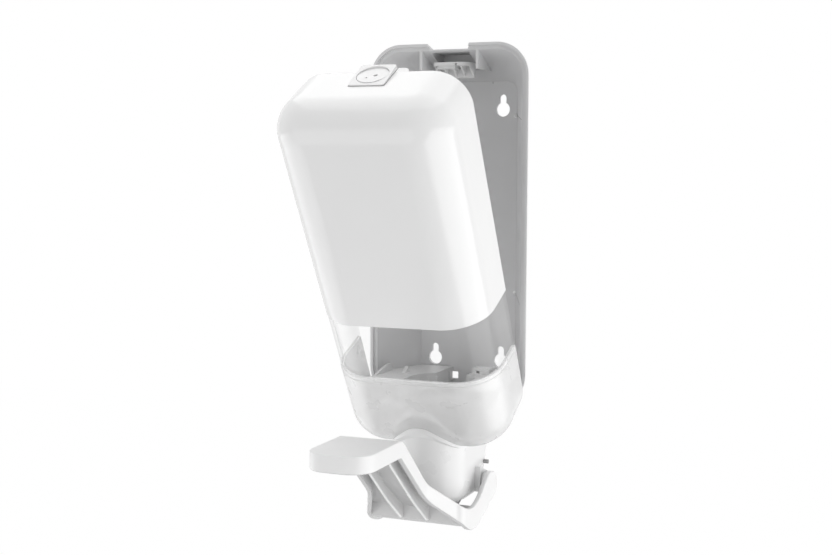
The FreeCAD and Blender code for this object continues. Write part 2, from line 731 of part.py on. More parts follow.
def bottle_shelf():
    base = SHELF_TOP - SHELF_THICKNESS
    foot = base - SKIRT_HEIGHT
    plate = prism("xy", shelf_outline(0.0), base, SHELF_TOP)
    plate = plate.cut(neck_cut(0.0, base - CUT_OVER, SHELF_TOP + CUT_OVER))
    hump_y = HOUSING_FRONT + HUMP_BACK
    hump = prism("yz", [(hump_y, SHELF_TOP, 0), (hump_y + HUMP_LENGTH, SHELF_TOP, 0),
                        (hump_y + HUMP_LENGTH - HUMP_BACK, SHELF_TOP + HUMP_HEIGHT, 1.0)],
                 HUMP_X, HUMP_X + HUMP_WIDTH)
    clip = box(REAR_SLOT_HALF_WIDTH, REAR_SLOT_HALF_WIDTH + SHELF_CLIP_WIDTH,
               -BACK_WALL - SHELF_CLIP_REACH, -BACK_WALL - SHELF_FIT, foot + SHELF_CLIP_RISE, base)
    lips = both_sides(shelf_lip())
    solid = plate.fuse([shelf_skirt(foot, base), shelf_block(), hump, lips, both_sides(clip)])
    return solid.removeSplitter()


# Cover, drawn shut and then tilted

def cover_plan(z, front, corner, inset, rear):
    half = WIDTH / 2 - inset
    radius = corner - inset
    nose = -front + inset
    corners = [(-half, rear, 0), (-half, nose, radius), (half, nose, radius), (half, rear, 0)]
    return rounded_wire("xy", z, corners)


def cover_form(inset, rear):
    """Gives the full rounded form of the shut cover, drawn in by an inset."""
    top, bottom = TOP - inset, COVER_BOTTOM + inset
    wires = [cover_plan(bottom, FRONT_DEPTH_BOTTOM, FRONT_CORNER_BOTTOM, inset, rear),
             cover_plan(top, FRONT_DEPTH_TOP, FRONT_CORNER_TOP, inset, rear)]
    solid = Part.makeLoft(wires, True, True)
    for level, radius in ((top, TOP_ROUNDING - inset), (bottom, BOTTOM_ROUNDING - inset)):
        solid = solid.makeFillet(radius, level_edges(solid, level, rear))
    return solid


def cover_outside(grow=0.0):
    return cover_form(-grow, COVER_REAR)


def cover_inside(gap=0.0):
    return cover_form(COVER_WALL + gap, COVER_REAR + COVER_MOUTH)


def side_of_plane(front_height, rear_height, upper):
    """Gives the space above or below a cut that runs level in X and slopes a little in Y."""
    front_z, rear_z = COVER_BOTTOM + front_height, COVER_BOTTOM + rear_height
    slope = (rear_z - front_z) / (FRONT_DEPTH_TOP - HOUSING_DEPTH)
    near, far = HOUSING_DEPTH, -2 * FRONT_DEPTH_TOP
    z_near = rear_z + slope * (near - HOUSING_FRONT)
    z_far = rear_z + slope * (far - HOUSING_FRONT)
    end = 2 * TOP if upper else 2 * HOUSING_BOTTOM
    return prism("yz", [(near, z_near, 0), (far, z_far, 0), (far, end, 0), (near, end, 0)], -WIDTH, WIDTH)


def above_foot():
    return side_of_plane(FOOT_FRONT_HEIGHT, FOOT_REAR_HEIGHT, True)


def below_foot_edge():
    return side_of_plane(FOOT_FRONT_HEIGHT, FOOT_REAR_HEIGHT, False)


def window_top(upper):
    front = FOOT_FRONT_HEIGHT + WINDOW_FRONT_HEIGHT
    rear = FOOT_REAR_HEIGHT + WINDOW_REAR_HEIGHT
    return side_of_plane(front, rear, upper)


def cover_shell():
    shell = cover_outside().cut(cover_inside()).common(window_top(True))
    hole = rod_z(0.0, LOCK_Y, BARREL_RADIUS + BARREL_FIT, ROOF_UNDER - CUT_OVER, TOP + CUT_OVER)
    return tilted(shell.cut(hole))


def window_band():
    """Draws the clear band, set back a little below the upper shell."""
    band = cover_outside(-WINDOW_RECESS).cut(cover_inside())
    return tilted(band.common(window_top(False)).common(above_foot()))


def lower_shell():
    shell = cover_outside().cut(cover_inside()).common(below_foot_edge())
    return tilted(shell).cut(spout_form(-SPOUT_FIT)).removeSplitter()


def hinge_cheek():
    """Draws the right plate that turns on a hinge pin, before it is trimmed to the cover's inside."""
    x0, x1 = CHEEK_INNER_X, CHEEK_INNER_X + CHEEK_THICKNESS
    front = HINGE_Y - CHEEK_LENGTH
    top = HINGE_Z + CHEEK_TOP_RISE
    nose = rod_x(HINGE_Y, HINGE_Z, CHEEK_NOSE_RADIUS, x0, x1)
    corners = [(HINGE_Y, HINGE_Z - CHEEK_NOSE_RADIUS, 0), (HINGE_Y - CHEEK_NECK, COVER_FLOOR, 0),
               (front, COVER_FLOOR, 0), (front, HINGE_Z + CHEEK_FRONT_RISE, CHEEK_ROUNDING),
               (HINGE_Y - CHEEK_TOP_FRONT, top, CHEEK_ROUNDING), (HINGE_Y - CHEEK_NECK, top, CHEEK_ROUNDING),
               (HINGE_Y, HINGE_Z + CHEEK_NOSE_RADIUS, 0)]
    bore = rod_x(HINGE_Y, HINGE_Z, HINGE_PIN_RADIUS + PIN_RUNNING_FIT, x0 - CUT_OVER, x1 + CUT_OVER)
    return nose.fuse(prism("yz", corners, x0, x1)).cut(bore)


def hinge_brackets():
    """Draws the two brackets in the foot: a cheek on each pin and the liner that ties it to the shell."""
    liner = cover_inside(PART_GAP).cut(cover_inside(PART_GAP + LINER_WALL))
    liner = liner.common(box(-WIDTH, WIDTH, HINGE_Y - CHEEK_LENGTH, HINGE_Y - LINER_START,
                             COVER_BOTTOM, COVER_FLOOR + LINER_RISE))
    solid = both_sides(hinge_cheek()).common(cover_inside(PART_GAP)).fuse(liner)
    return tilted(solid).cut(spout_form(-BRACKET_SPOUT_GAP)).removeSplitter()


# Spout housing, drawn open

def spout_plan(z, inset):
    """Draws the spout's outline from above: a half round at the front and straight sides."""
    half = SPOUT_HALF_WIDTH - inset
    rear = HINGE_Y + SPOUT_PLAN_REAR
    left, right = vec(-half, SPOUT_Y, z), vec(half, SPOUT_Y, z)
    nose = Part.Arc(left, vec(0.0, SPOUT_Y - half, z), right).toShape()
    sides = Part.makePolygon([right, vec(half, rear, z), vec(-half, rear, z), left])
    return Part.Face(Part.Wire([nose] + sides.Edges))


def spout_side(inset):
    """Gives the side view of the spout housing as a prism, drawn in by an inset."""
    low = SPOUT_BOTTOM + inset
    top = HINGE_Z + SPOUT_TOP_RISE
    front = HINGE_Y - WIDTH / 2
    back = HINGE_Y - inset
    turn = SPOUT_REAR_ROUNDING
    return prism("yz", [(front, low, 0), (back + SPOUT_HEEL_REAR, low, turn),
                        (back + SPOUT_HIP_REAR, SPOUT_BOTTOM + SPOUT_HIP_RISE, turn),
                        (back + SPOUT_REAR, HINGE_Z - SPOUT_REAR_FOOT_DROP, turn),
                        (back + SPOUT_REAR, HINGE_Z - SPOUT_REAR_TOP_DROP, turn / 2),
                        (back + SPOUT_SHOULDER_REAR, HINGE_Z - SPOUT_SHOULDER_DROP, 0),
                        (HINGE_Y - SPOUT_TOP_REAR, top, 0), (front, top, 0)], -WIDTH, WIDTH)


def spout_form(inset):
    """Gives the round-fronted form of the spout housing, larger for a negative inset."""
    bottom = SPOUT_BOTTOM + inset
    rear = HINGE_Y + SPOUT_PLAN_REAR
    solid = spout_plan(bottom, inset).extrude(vec(0, 0, HINGE_Z + SPOUT_TOP_RISE + CUT_OVER - bottom))
    rounding = max(SPOUT_BOTTOM_ROUNDING - inset, SPOUT_MIN_ROUNDING)
    solid = solid.makeFillet(rounding, level_edges(solid, bottom, rear))
    return solid.common(spout_side(inset))


def spout_collar(inside_form):
    """Draws the raised band where the spout housing meets the cover's skin."""
    grown = spout_form(-COLLAR_WIDTH)
    skin = tilted(cover_outside(COLLAR_HEIGHT)).cut(tilted(cover_outside()))
    return grown.common(skin).cut(inside_form)


def spout_flange(inside_form):
    """Draws the flange that holds the spout housing from inside the cover."""
    skin = tilted(cover_inside()).cut(tilted(cover_inside(FLANGE_THICKNESS)))
    rear = COVER_REAR - FLANGE_REAR_GAP
    keep = tilted(box(-WIDTH, WIDTH, -FLANGE_FRONT, rear, 2 * HOUSING_BOTTOM, 0.0))
    return spout_form(-FLANGE_WIDTH).common(skin).common(keep).cut(inside_form)


def pivot_lug():
    """Draws the right lug on the spout's side that carries the lever's pin."""
    foot = PIVOT_Z - LUG_FOOT_DROP
    corners = [(PIVOT_Y - LUG_FRONT, PIVOT_Z + LUG_TOP_RISE, 0),
               (PIVOT_Y + LUG_REAR, PIVOT_Z + LUG_REAR_RISE, LUG_ROUNDING),
               (PIVOT_Y + LUG_FOOT_REAR, foot, LUG_ROUNDING), (PIVOT_Y - LUG_FRONT, foot, LUG_ROUNDING)]
    return prism("yz", corners, LUG_INNER_X, LUG_OUTER_X)


def floor_slots():
    """Gives the two slots in the spout's floor for the pusher's legs and the springs' lower legs."""
    x0, x1 = LEG_INNER_X - PART_GAP, COIL_START_X + COIL_WIRE + PART_GAP
    front = LEG_Y - LEG_HALF_DEPTH - PART_GAP
    rear = PIVOT_Y
    low, high = SPOUT_BOTTOM - CUT_OVER, SPOUT_BOTTOM + SPOUT_WALL + CUT_OVER
    return both_sides(box(x0, x1, front, rear, low, high))


def spout_housing():
    outer = spout_form(0.0)
    inner = spout_form(SPOUT_WALL)
    wall = outer.cut(inner).cut(tilted(cover_inside()))
    peg_y, peg_z = PIVOT_Y + SPRING_PEG_BACK - LEVER_PIVOT_BACK, SPOUT_BOTTOM + SPRING_PEG_RISE
    peg = rod_x(peg_y, peg_z, SPRING_PEG_RADIUS, SPOUT_HALF_WIDTH - SPOUT_WALL / 2,
                SPOUT_HALF_WIDTH + SPRING_PEG_LENGTH)
    parts = [spout_collar(outer), spout_flange(inner), both_sides(pivot_lug()).cut(inner), both_sides(peg)]
    pin_hole = rod_x(PIVOT_Y, PIVOT_Z, LEVER_PIN_RADIUS + PIN_SEAT_FIT, -WIDTH, WIDTH)
    floor = SPOUT_BOTTOM + SPOUT_WALL
    outlet = rod_z(0.0, OUTLET_Y, OUTLET_RADIUS, SPOUT_BOTTOM - CUT_OVER, floor + CUT_OVER)
    return wall.fuse(parts).cut([pin_hole, outlet, floor_slots()]).removeSplitter()


# Outlet and pump pusher inside the spout

def outlet_collar():
    low, high = SPOUT_BOTTOM - OUTLET_LIP_HEIGHT, SPOUT_BOTTOM + OUTLET_HEIGHT
    sleeve = rod_z(0.0, OUTLET_Y, OUTLET_RADIUS - OUTLET_SEAT_FIT, SPOUT_BOTTOM, high)
    lip = rod_z(0.0, OUTLET_Y, OUTLET_RADIUS + OUTLET_LIP, low, SPOUT_BOTTOM)
    bore = rod_z(0.0, OUTLET_Y, GUIDE_RADIUS + PART_GAP, low - CUT_OVER, high + CUT_OVER)
    return sleeve.fuse(lip).cut(bore)


def pump_pusher():
    """Draws the cup and two legs that the lever lifts to work the bottle's pump."""
    foot = LIFT_PEG_Z + LIFT_PEG_RADIUS + PART_GAP
    low = PUSHER_TOP - PUSHER_PLATE
    y0, y1 = LEG_Y - LEG_HALF_DEPTH, LEG_Y + LEG_HALF_DEPTH
    sleeve = rod_z(0.0, OUTLET_Y, GUIDE_RADIUS, SPOUT_BOTTOM + CUT_OVER, PUSHER_TOP)
    cup = rod_z(0.0, OUTLET_Y, PUSHER_CUP_RADIUS, low, PUSHER_TOP)
    yoke = box(-LEG_OUTER_X, LEG_OUTER_X, y0, y1, low, PUSHER_TOP)
    legs = both_sides(box(LEG_INNER_X, LEG_OUTER_X, y0, y1, foot, PUSHER_TOP))
    bore = rod_z(0.0, OUTLET_Y, GUIDE_BORE, SPOUT_BOTTOM, PUSHER_TOP + CUT_OVER)
    return sleeve.fuse([cup, yoke, legs]).cut(bore).removeSplitter()


# Arm lever, one piece

def from_pivot(forward, above, radius):
    return PIVOT_Y - forward, PIVOT_Z + above, radius


def lever_side():
    """Draws the side view of the lever as a prism, from the pad's front round to its pivot end."""
    corners = [(LEVER_FRONT, LEVER_TOP, 0), from_pivot(KNEE_FORWARD, LEVER_RISE, KNEE_ROUNDING),
               from_pivot(BEND_FORWARD, BEND_RISE, BEND_ROUNDING),
               from_pivot(TROUGH_FORWARD, -TROUGH_DROP, TROUGH_ROUNDING),
               from_pivot(BOSS_FORWARD, BOSS_TOP_FRONT, BOSS_FRONT_ROUNDING),
               from_pivot(-BOSS_REAR, BOSS_TOP_REAR, BOSS_REAR_ROUNDING),
               from_pivot(-BOSS_REAR, -BOSS_FOOT_DROP, BOSS_FOOT_ROUNDING),
               from_pivot(HEEL_FORWARD, -HEEL_DROP, HEEL_ROUNDING),
               from_pivot(UNDER_BEND_FORWARD, UNDER_BEND_RISE, UNDER_BEND_ROUNDING),
               from_pivot(UNDER_KNEE_FORWARD, LEVER_RISE - PAD_HEIGHT, UNDER_KNEE_ROUNDING),
               (LEVER_FRONT, PAD_BOTTOM, 0)]
    return prism("yz", corners, -WIDTH / 2, WIDTH / 2)


def lever_plan(inset, low, high):
    """Draws the lever from above as a prism: the pad's rounded front and the arms that flare out."""
    pad, arm = PAD_HALF_WIDTH - inset, ARM_HALF_WIDTH - inset
    half = [(pad, LEVER_FRONT + inset, PAD_CORNER - inset),
            (pad, PIVOT_Y - FLARE_START, FLARE_START_ROUNDING),
            (arm, PIVOT_Y - FLARE_END, FLARE_END_ROUNDING), (arm, PIVOT_Y + WIDTH / 2, 0)]
    other = [(-x, y, radius) for x, y, radius in reversed(half)]
    return prism("xy", half + other, low, high)


def web_ribs(solid):
    """Cuts the two ribs below the skin out of the lever's full form."""
    x0, x1 = WEB_RIB_X - WEB_RIB_THICKNESS / 2, WEB_RIB_X + WEB_RIB_THICKNESS / 2
    foot = PIVOT_Z - WEB_RIB_FOOT_DROP
    behind_knee = box(x0, x1, PIVOT_Y - UNDER_KNEE_FORWARD, PANEL_REAR, foot, LEVER_TOP)
    below_pad = box(x0, x1, LEVER_FRONT, PIVOT_Y - KNEE_FORWARD, PAD_BOTTOM + CUT_OVER, LEVER_TOP)
    return solid.common(both_sides(behind_knee.fuse(below_pad)))


def lever():
    """Draws the one-piece lever: pad, sloping skin with ribs, upright panel, arms, hubs and lift pegs."""
    low, high = PIVOT_Z - WIDTH / 2, LEVER_TOP + CUT_OVER
    side = lever_side()
    block = side.common(lever_plan(0.0, low, high))
    rim = level_edges(block, LEVER_TOP, LEVER_FRONT + PAD_CORNER)
    block = block.makeFillet(LEVER_EDGE, rim)
    between = lever_plan(ARM_THICKNESS, low, high)
    under = side.copy()
    under.translate(vec(0, 0, -LEVER_SKIN))
    front_room = under.common(between).common(box(-WIDTH, WIDTH, LEVER_FRONT, PANEL_FRONT, low, high))
    rear_room = between.common(box(-WIDTH, WIDTH, PANEL_REAR, 0.0, low, high))
    body = block.cut([front_room, rear_room])
    hub = rod_x(PIVOT_Y, PIVOT_Z, HUB_RADIUS, LUG_OUTER_X + PART_GAP, ARM_HALF_WIDTH - LEVER_PIN_SINK)
    peg = rod_x(LIFT_PEG_Y, LIFT_PEG_Z, LIFT_PEG_RADIUS, LEG_INNER_X - LIFT_PEG_OVERLAP,
                ARM_HALF_WIDTH - LEVER_PIN_SINK)
    body = body.fuse([web_ribs(block), both_sides(hub), both_sides(peg)])
    sink = PIN_END_X + PIN_SEAT_FIT + PIN_RUNNING_FIT
    bore = rod_x(PIVOT_Y, PIVOT_Z, LEVER_PIN_RADIUS + PIN_RUNNING_FIT, -sink, sink)
    return body.cut(bore).removeSplitter()


def lever_pins():
    pin = rod_x(PIVOT_Y, PIVOT_Z, LEVER_PIN_RADIUS, COIL_START_X - COIL_WIRE, PIN_END_X)
    return [pin, mirrored(pin)]


def lever_spring():
    """Winds the right return spring, with a leg over the lift peg and one along the spout's rear."""
    height = COIL_PITCH * COIL_TURNS
    helix = Part.Wire(Part.makeHelix(COIL_PITCH, height, COIL_RADIUS))
    section = Part.Wire(Part.makeCircle(COIL_WIRE, vec(COIL_RADIUS, 0, 0), vec(0, 1, 0)))
    coil = helix.makePipeShell([section], True, True)
    coil.rotate(vec(0, 0, 0), vec(0, 1, 0), 90)
    apart = hypot(LIFT_PEG_FORWARD, LIFT_PEG_DROP)
    reach = COIL_RADIUS + LIFT_PEG_RADIUS + COIL_WIRE + PART_GAP
    slope = degrees(atan2(LIFT_PEG_DROP, LIFT_PEG_FORWARD) - asin(reach / apart))
    length = (apart * apart - reach * reach) ** 0.5
    peg_leg = Part.makeCylinder(COIL_WIRE, length, vec(0, 0, -COIL_RADIUS), vec(0, -1, 0))
    rear_leg = Part.makeCylinder(COIL_WIRE, SPRING_LEG, vec(height, 0, COIL_RADIUS), vec(0, -1, 0))
    spring = coil.fuse([peg_leg, rear_leg])
    spring.rotate(vec(0, 0, 0), vec(1, 0, 0), slope)
    spring.translate(vec(COIL_START_X, PIVOT_Y, PIVOT_Z))
    return spring


def lever_springs():
    right = lever_spring()
    return [right, mirrored(right)]


# Lock on top of the cover, drawn shut

def lock_plate():
    """Draws the plate round the lock, which rises a little towards the back."""
    half = LOCK_PLATE_HALF_WIDTH
    front, rear = LOCK_Y - LOCK_PLATE_AHEAD, LOCK_Y + LOCK_PLATE_BEHIND
    high = TOP + LOCK_PLATE_REAR_RISE
    corner = LOCK_PLATE_CORNER
    outline = [(-half, front, corner), (half, front, corner), (half, rear, corner), (-half, rear, corner)]
    wedge = prism("yz", [(front, TOP, 0), (rear, TOP, 0), (rear, high, 0),
                         (front, TOP + LOCK_PLATE_FRONT_RISE, 0)], -half, half)
    plate = prism("xy", outline, TOP, high).common(wedge)
    bore = rod_z(0.0, LOCK_Y, BARREL_RADIUS + BARREL_FIT, TOP - CUT_OVER, high + CUT_OVER)
    return tilted(plate.cut(bore))


def lock_barrel():
    """Draws the round lock with two blind holes for its pin key and a shaft below."""
    shoulder = ROOF_UNDER + PART_GAP
    head = rod_z(0.0, LOCK_Y, BARREL_RADIUS, shoulder, BARREL_TOP)
    shaft = rod_z(0.0, LOCK_Y, BARREL_SHAFT_RADIUS, CAM_TOP, shoulder)
    low, high = BARREL_TOP - KEY_HOLE_DEPTH, BARREL_TOP + CUT_OVER
    holes = [rod_z(KEY_HOLE_X, LOCK_Y - KEY_HOLE_AHEAD, KEY_HOLE_RADIUS, low, high),
             rod_z(MARK_HOLE_X, LOCK_Y - MARK_HOLE_AHEAD, MARK_HOLE_RADIUS, low, high)]
    return tilted(head.fuse(shaft).cut(holes))


def lock_ring():
    """Draws the ring under the cover's roof that keeps the barrel in."""
    low = ROOF_UNDER - RING_HEIGHT
    ring = rod_z(0.0, LOCK_Y, RING_RADIUS, low, ROOF_UNDER)
    bore = rod_z(0.0, LOCK_Y, BARREL_SHAFT_RADIUS + BARREL_FIT, low - CUT_OVER, TOP)
    ring = ring.common(box(-WIDTH, WIDTH, -2 * FRONT_DEPTH_TOP, COVER_REAR - PART_GAP, 0.0, TOP))
    return tilted(ring.cut(bore))


def cam_lobes():
    """Draws a bar through the lock's axis, as a sector on each side."""
    reach = CAM_RADIUS / cos(radians(CAM_HALF_TURN))
    wide = reach * sin(radians(CAM_HALF_TURN))
    corners = [(0.0, LOCK_Y, 0), (CAM_RADIUS, LOCK_Y - wide, 0), (CAM_RADIUS, LOCK_Y + wide, 0)]
    sector = prism("xy", corners, CAM_BOTTOM, CAM_TOP)
    return both_sides(sector).common(rod_z(0.0, LOCK_Y, CAM_RADIUS, CAM_BOTTOM, CAM_TOP))


def lock_cam():
    """Draws the face cam whose two lobes press the hook's ramps down."""
    hub = rod_z(0.0, LOCK_Y, CAM_HUB_RADIUS, CAM_BOTTOM, CAM_TOP)
    return tilted(hub.fuse(cam_lobes()).removeSplitter())


# Latch below the lock, drawn shut

def hook_ramp():
    """Sweeps the quarter-turn ramp that one lobe of the cam rides up, to the right of the lock."""
    middle = (CAM_RADIUS + RAMP_INNER_RADIUS) / 2
    helix = Part.Wire(Part.makeHelix(LATCH_TRAVEL * 360.0 / RAMP_TURN, LATCH_TRAVEL, middle))
    low = -HOOK_THICKNESS / 2 - LATCH_TRAVEL
    inner, outer = RAMP_INNER_RADIUS, CAM_RADIUS
    section = Part.makePolygon([vec(inner, 0, low), vec(outer, 0, low), vec(outer, 0, 0), vec(inner, 0, 0),
                                vec(inner, 0, low)])
    ramp = helix.makePipeShell([section], True, True)
    ramp.rotate(vec(0, 0, 0), vec(0, 0, 1), CAM_HALF_TURN + RAMP_LEAD_IN)
    ramp.translate(vec(0, LOCK_Y, HOOK_TOP))
    return ramp


def latch_hook():
    """Draws the sliding latch plate with its barb and the two ramps below the cam."""
    half = HOOK_HALF_WIDTH
    outline = [(-half, HOOK_FRONT, HOOK_FRONT_CORNER), (half, HOOK_FRONT, HOOK_FRONT_CORNER),
               (half, HOOK_REAR, HOOK_REAR_CORNER), (-half, HOOK_REAR, HOOK_REAR_CORNER)]
    plate = prism("xy", outline, HOOK_UNDER, HOOK_TOP)
    barb_half = half - BARB_INSET
    barb = box(-barb_half, barb_half, HOOK_REAR - BARB_LENGTH, HOOK_REAR, BARB_BOTTOM, HOOK_UNDER)
    ramp = hook_ramp()
    other = ramp.copy()
    other.rotate(vec(0, LOCK_Y, 0), vec(0, 0, 1), 180)
    ramps = ramp.fuse(other).common(box(-half, half, HOOK_FRONT, HOOK_REAR, HOOK_TOP - RAMP_ROOT, CAM_TOP))
    return tilted(plate.fuse([barb, ramps]).removeSplitter())


def latch_guide():
    """Draws the cradle below the cover's roof that the latch hook rises and drops in."""
    half = HOOK_HALF_WIDTH + PART_GAP
    front = HOOK_FRONT - PART_GAP
    block = box(-half - GUIDE_WALL, half + GUIDE_WALL, front - GUIDE_WALL, COVER_REAR - GUIDE_REAR_GAP,
                GUIDE_FLOOR - GUIDE_WALL, ROOF_UNDER)
    space = box(-half, half, front, 0.0, GUIDE_FLOOR, TOP)
    seat = GUIDE_FLOOR - SPRING_SEAT_DEPTH
    cup = rod_z(SPRING_SEAT_X, SPRING_SEAT_Y, SPRING_CUP_RADIUS, seat - GUIDE_WALL, GUIDE_FLOOR)
    well = rod_z(SPRING_SEAT_X, SPRING_SEAT_Y, SPRING_CUP_RADIUS - SPRING_CUP_WALL, seat,
                 GUIDE_FLOOR + CUT_OVER)
    solid = block.cut(space).fuse(both_sides(cup)).cut(both_sides(well))
    return tilted(solid.removeSplitter())


def latch_spring():
    """Winds the small spring that lifts the hook off the catch, to the right of the lock."""
    low = GUIDE_FLOOR - SPRING_SEAT_DEPTH + SPRING_WIRE + SPRING_END_GAP
    high = HOOK_UNDER - SPRING_WIRE - SPRING_END_GAP
    helix = Part.Wire(Part.makeHelix((high - low) / SPRING_TURNS, high - low, SPRING_RADIUS))
    section = Part.Wire(Part.makeCircle(SPRING_WIRE, vec(SPRING_RADIUS, 0, 0), vec(0, 1, 0)))
    coil = helix.makePipeShell([section], True, True)
    coil.translate(vec(SPRING_SEAT_X, SPRING_SEAT_Y, low))
    return tilted(coil)


def latch_springs():
    right = latch_spring()
    return [right, mirrored(right)]


def write(name, shape):
    """Writes one sub-part, given as a solid or as a list of like solids."""
    body = Part.makeCompound(shape) if isinstance(shape, list) else shape
    body.exportStep("parts/" + name + ".step")
    solids = body.Solids
    print(name, len(solids), "solid(s)", round(sum(s.Volume for s in solids), 1), "mm3",
          "valid" if body.isValid() else "INVALID")


def main():
    os.makedirs("parts", exist_ok=True)
    write("back_housing", back_housing())
    write("hinge_pins", hinge_pins())
    write("bottle_shelf", bottle_shelf())
    write("lock_catch", lock_catch())
    write("cover_shell", cover_shell())
    write("window_band", window_band())
    write("lower_shell", lower_shell())
    write("hinge_brackets", hinge_brackets())
    write("spout_housing", spout_housing())
    write("outlet_collar", outlet_collar())
    write("pump_pusher", pump_pusher())
    write("lever", lever())
    write("lever_pins", lever_pins())
    write("lever_springs", lever_springs())
    write("lock_plate", lock_plate())
    write("lock_barrel", lock_barrel())
    write("lock_ring", lock_ring())
    write("lock_cam", lock_cam())
    write("latch_hook", latch_hook())
    write("latch_guide", latch_guide())
    write("latch_springs", latch_springs())


if __name__ == "__main__":
    main()
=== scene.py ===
"""Looks of a wall dispenser for liquid soap with a long arm lever, its cover swung open.

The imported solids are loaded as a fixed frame. Each sub-assembly is a class that keeps its sizes,
dresses its solids and builds the fine detail that they lack, such as seams, rims and moulding
marks. All lengths are in metres, in the frame of the solids: +X right, +Y into the wall,
+Z up, with the origin on the wall in the middle of the four keyholes.
"""
from __future__ import annotations

import logging
import math
from dataclasses import dataclass
from enum import Enum
from typing import Any, Sequence

import bpy
from mathutils import Matrix, Vector


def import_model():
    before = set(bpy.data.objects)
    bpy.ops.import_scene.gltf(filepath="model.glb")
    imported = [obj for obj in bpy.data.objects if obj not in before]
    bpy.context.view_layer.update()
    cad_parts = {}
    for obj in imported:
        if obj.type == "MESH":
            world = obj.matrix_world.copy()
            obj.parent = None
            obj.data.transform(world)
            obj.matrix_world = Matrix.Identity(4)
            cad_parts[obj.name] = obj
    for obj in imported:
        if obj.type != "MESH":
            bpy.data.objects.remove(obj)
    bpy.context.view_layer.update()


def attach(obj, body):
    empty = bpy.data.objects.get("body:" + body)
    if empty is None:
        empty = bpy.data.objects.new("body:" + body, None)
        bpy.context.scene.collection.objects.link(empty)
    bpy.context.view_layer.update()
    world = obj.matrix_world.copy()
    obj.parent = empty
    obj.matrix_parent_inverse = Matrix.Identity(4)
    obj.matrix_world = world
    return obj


LOG = logging.getLogger("dispenser")

Colour = tuple[float, float, float]


class Body(str, Enum):
    """The rigid bodies that carry the pieces made here."""

    HOUSING = "housing"
    COVER = "cover"
    LEVER = "lever"


def set_values(node: bpy.types.Node, values: dict[str, Any]) -> None:
    """Sets values of a node's inputs, or its properties where it has no such input.

    Args:
        node: the node.
        values: the values by name, with spaces written as _.
    """
    for key, value in values.items():
        label = key.replace("_", " ")
        if label in node.inputs:
            node.inputs[label].default_value = value
        else:
            setattr(node, key, value)


class ShaderGraph:
    """The nodes of one material, added and linked by short calls."""

    def __init__(self, name: str) -> None:
        """Starts a material with an empty graph and its output.

        Args:
            name: the material's name.
        """
        self.material = bpy.data.materials.new(name)
        self.material.use_nodes = True
        self.nodes = self.material.node_tree.nodes
        self.links = self.material.node_tree.links
        self.nodes.clear()
        self.output = self.nodes.new("ShaderNodeOutputMaterial")
        self.place = self.nodes.new("ShaderNodeTexCoord").outputs["Object"]

    def add(self, kind: str, **values: Any) -> bpy.types.Node:
        """Adds a node.

        Args:
            kind: the node's type, without its ShaderNode prefix.
            values: settings of the node, or values of its inputs with spaces written as _.

        Returns:
            The new node.
        """
        node = self.nodes.new("ShaderNode" + kind)
        set_values(node, values)
        return node

    def link(self, source: bpy.types.NodeSocket, node: bpy.types.Node, target: str | int) -> None:
        """Links an output to a node's named or numbered input."""
        self.links.new(source, node.inputs[target])

    def join(self, operation: str, first: bpy.types.NodeSocket,
             second: bpy.types.NodeSocket) -> bpy.types.NodeSocket:
        """Joins two values by a sum, a product or the like.

        Args:
            operation: the Math node's operation.
            first: the first value.
            second: the second value.

        Returns:
            The result.
        """
        node = self.add("Math", operation=operation)
        self.link(first, node, 0)
        self.link(second, node, 1)
        return node.outputs[0]

    def noise(self, scale: float, detail: float = 2.0, distortion: float = 0.0) -> bpy.types.NodeSocket:
        """Adds a noise on the object's own coordinates.

        Args:
            scale: the pattern's cells per metre.
            detail: the octaves.
            distortion: how far the pattern is pulled about.

        Returns:
            The noise's value.
        """
        node = self.add("TexNoise", Scale=scale, Detail=detail, Distortion=distortion)
        self.link(self.place, node, "Vector")
        return node.outputs["Fac"]

    def spread(self, value: bpy.types.NodeSocket, low: float, high: float,
               new_low: float, new_high: float) -> bpy.types.NodeSocket:
        """Maps one range onto another, and clamps it.

        Args:
            value: what is mapped.
            low: the old range's start.
            high: the old range's end.
            new_low: the new range's start.
            new_high: the new range's end.

        Returns:
            The mapped value.
        """
        node = self.add("MapRange")
        for index, number in enumerate((low, high, new_low, new_high), start=1):
            node.inputs[index].default_value = number
        self.link(value, node, 0)
        return node.outputs[0]

    def blend(self, share: bpy.types.NodeSocket, first: Colour, second: Colour) -> bpy.types.NodeSocket:
        """Mixes two colours by a share from 0 to 1.

        Args:
            share: 0 gives the first colour and 1 the second.
            first: the first colour.
            second: the second colour.

        Returns:
            The mixed colour.
        """
        node = self.add("Mix", data_type="RGBA")
        node.inputs[6].default_value = (*first, 1.0)
        node.inputs[7].default_value = (*second, 1.0)
        self.link(share, node, 0)
        return node.outputs[2]

    def relief(self, height: bpy.types.NodeSocket, depth: float,
               under: bpy.types.NodeSocket | None = None) -> bpy.types.NodeSocket:
        """Turns a height into a bumped normal.

        Args:
            height: the pattern, from 0 to 1.
            depth: how deep the pattern is, in metres.
            under: a normal that this relief lies on.

        Returns:
            The bumped normal.
        """
        node = self.add("Bump", Strength=1.0, Distance=depth)
        self.link(height, node, "Height")
        if under is not None:
            self.link(under, node, "Normal")
        return node.outputs["Normal"]

    def close(self, shader: bpy.types.NodeSocket) -> bpy.types.Material:
        """Links the last shader to the output and gives the material back."""
        self.link(shader, self.output, "Surface")
        return self.material


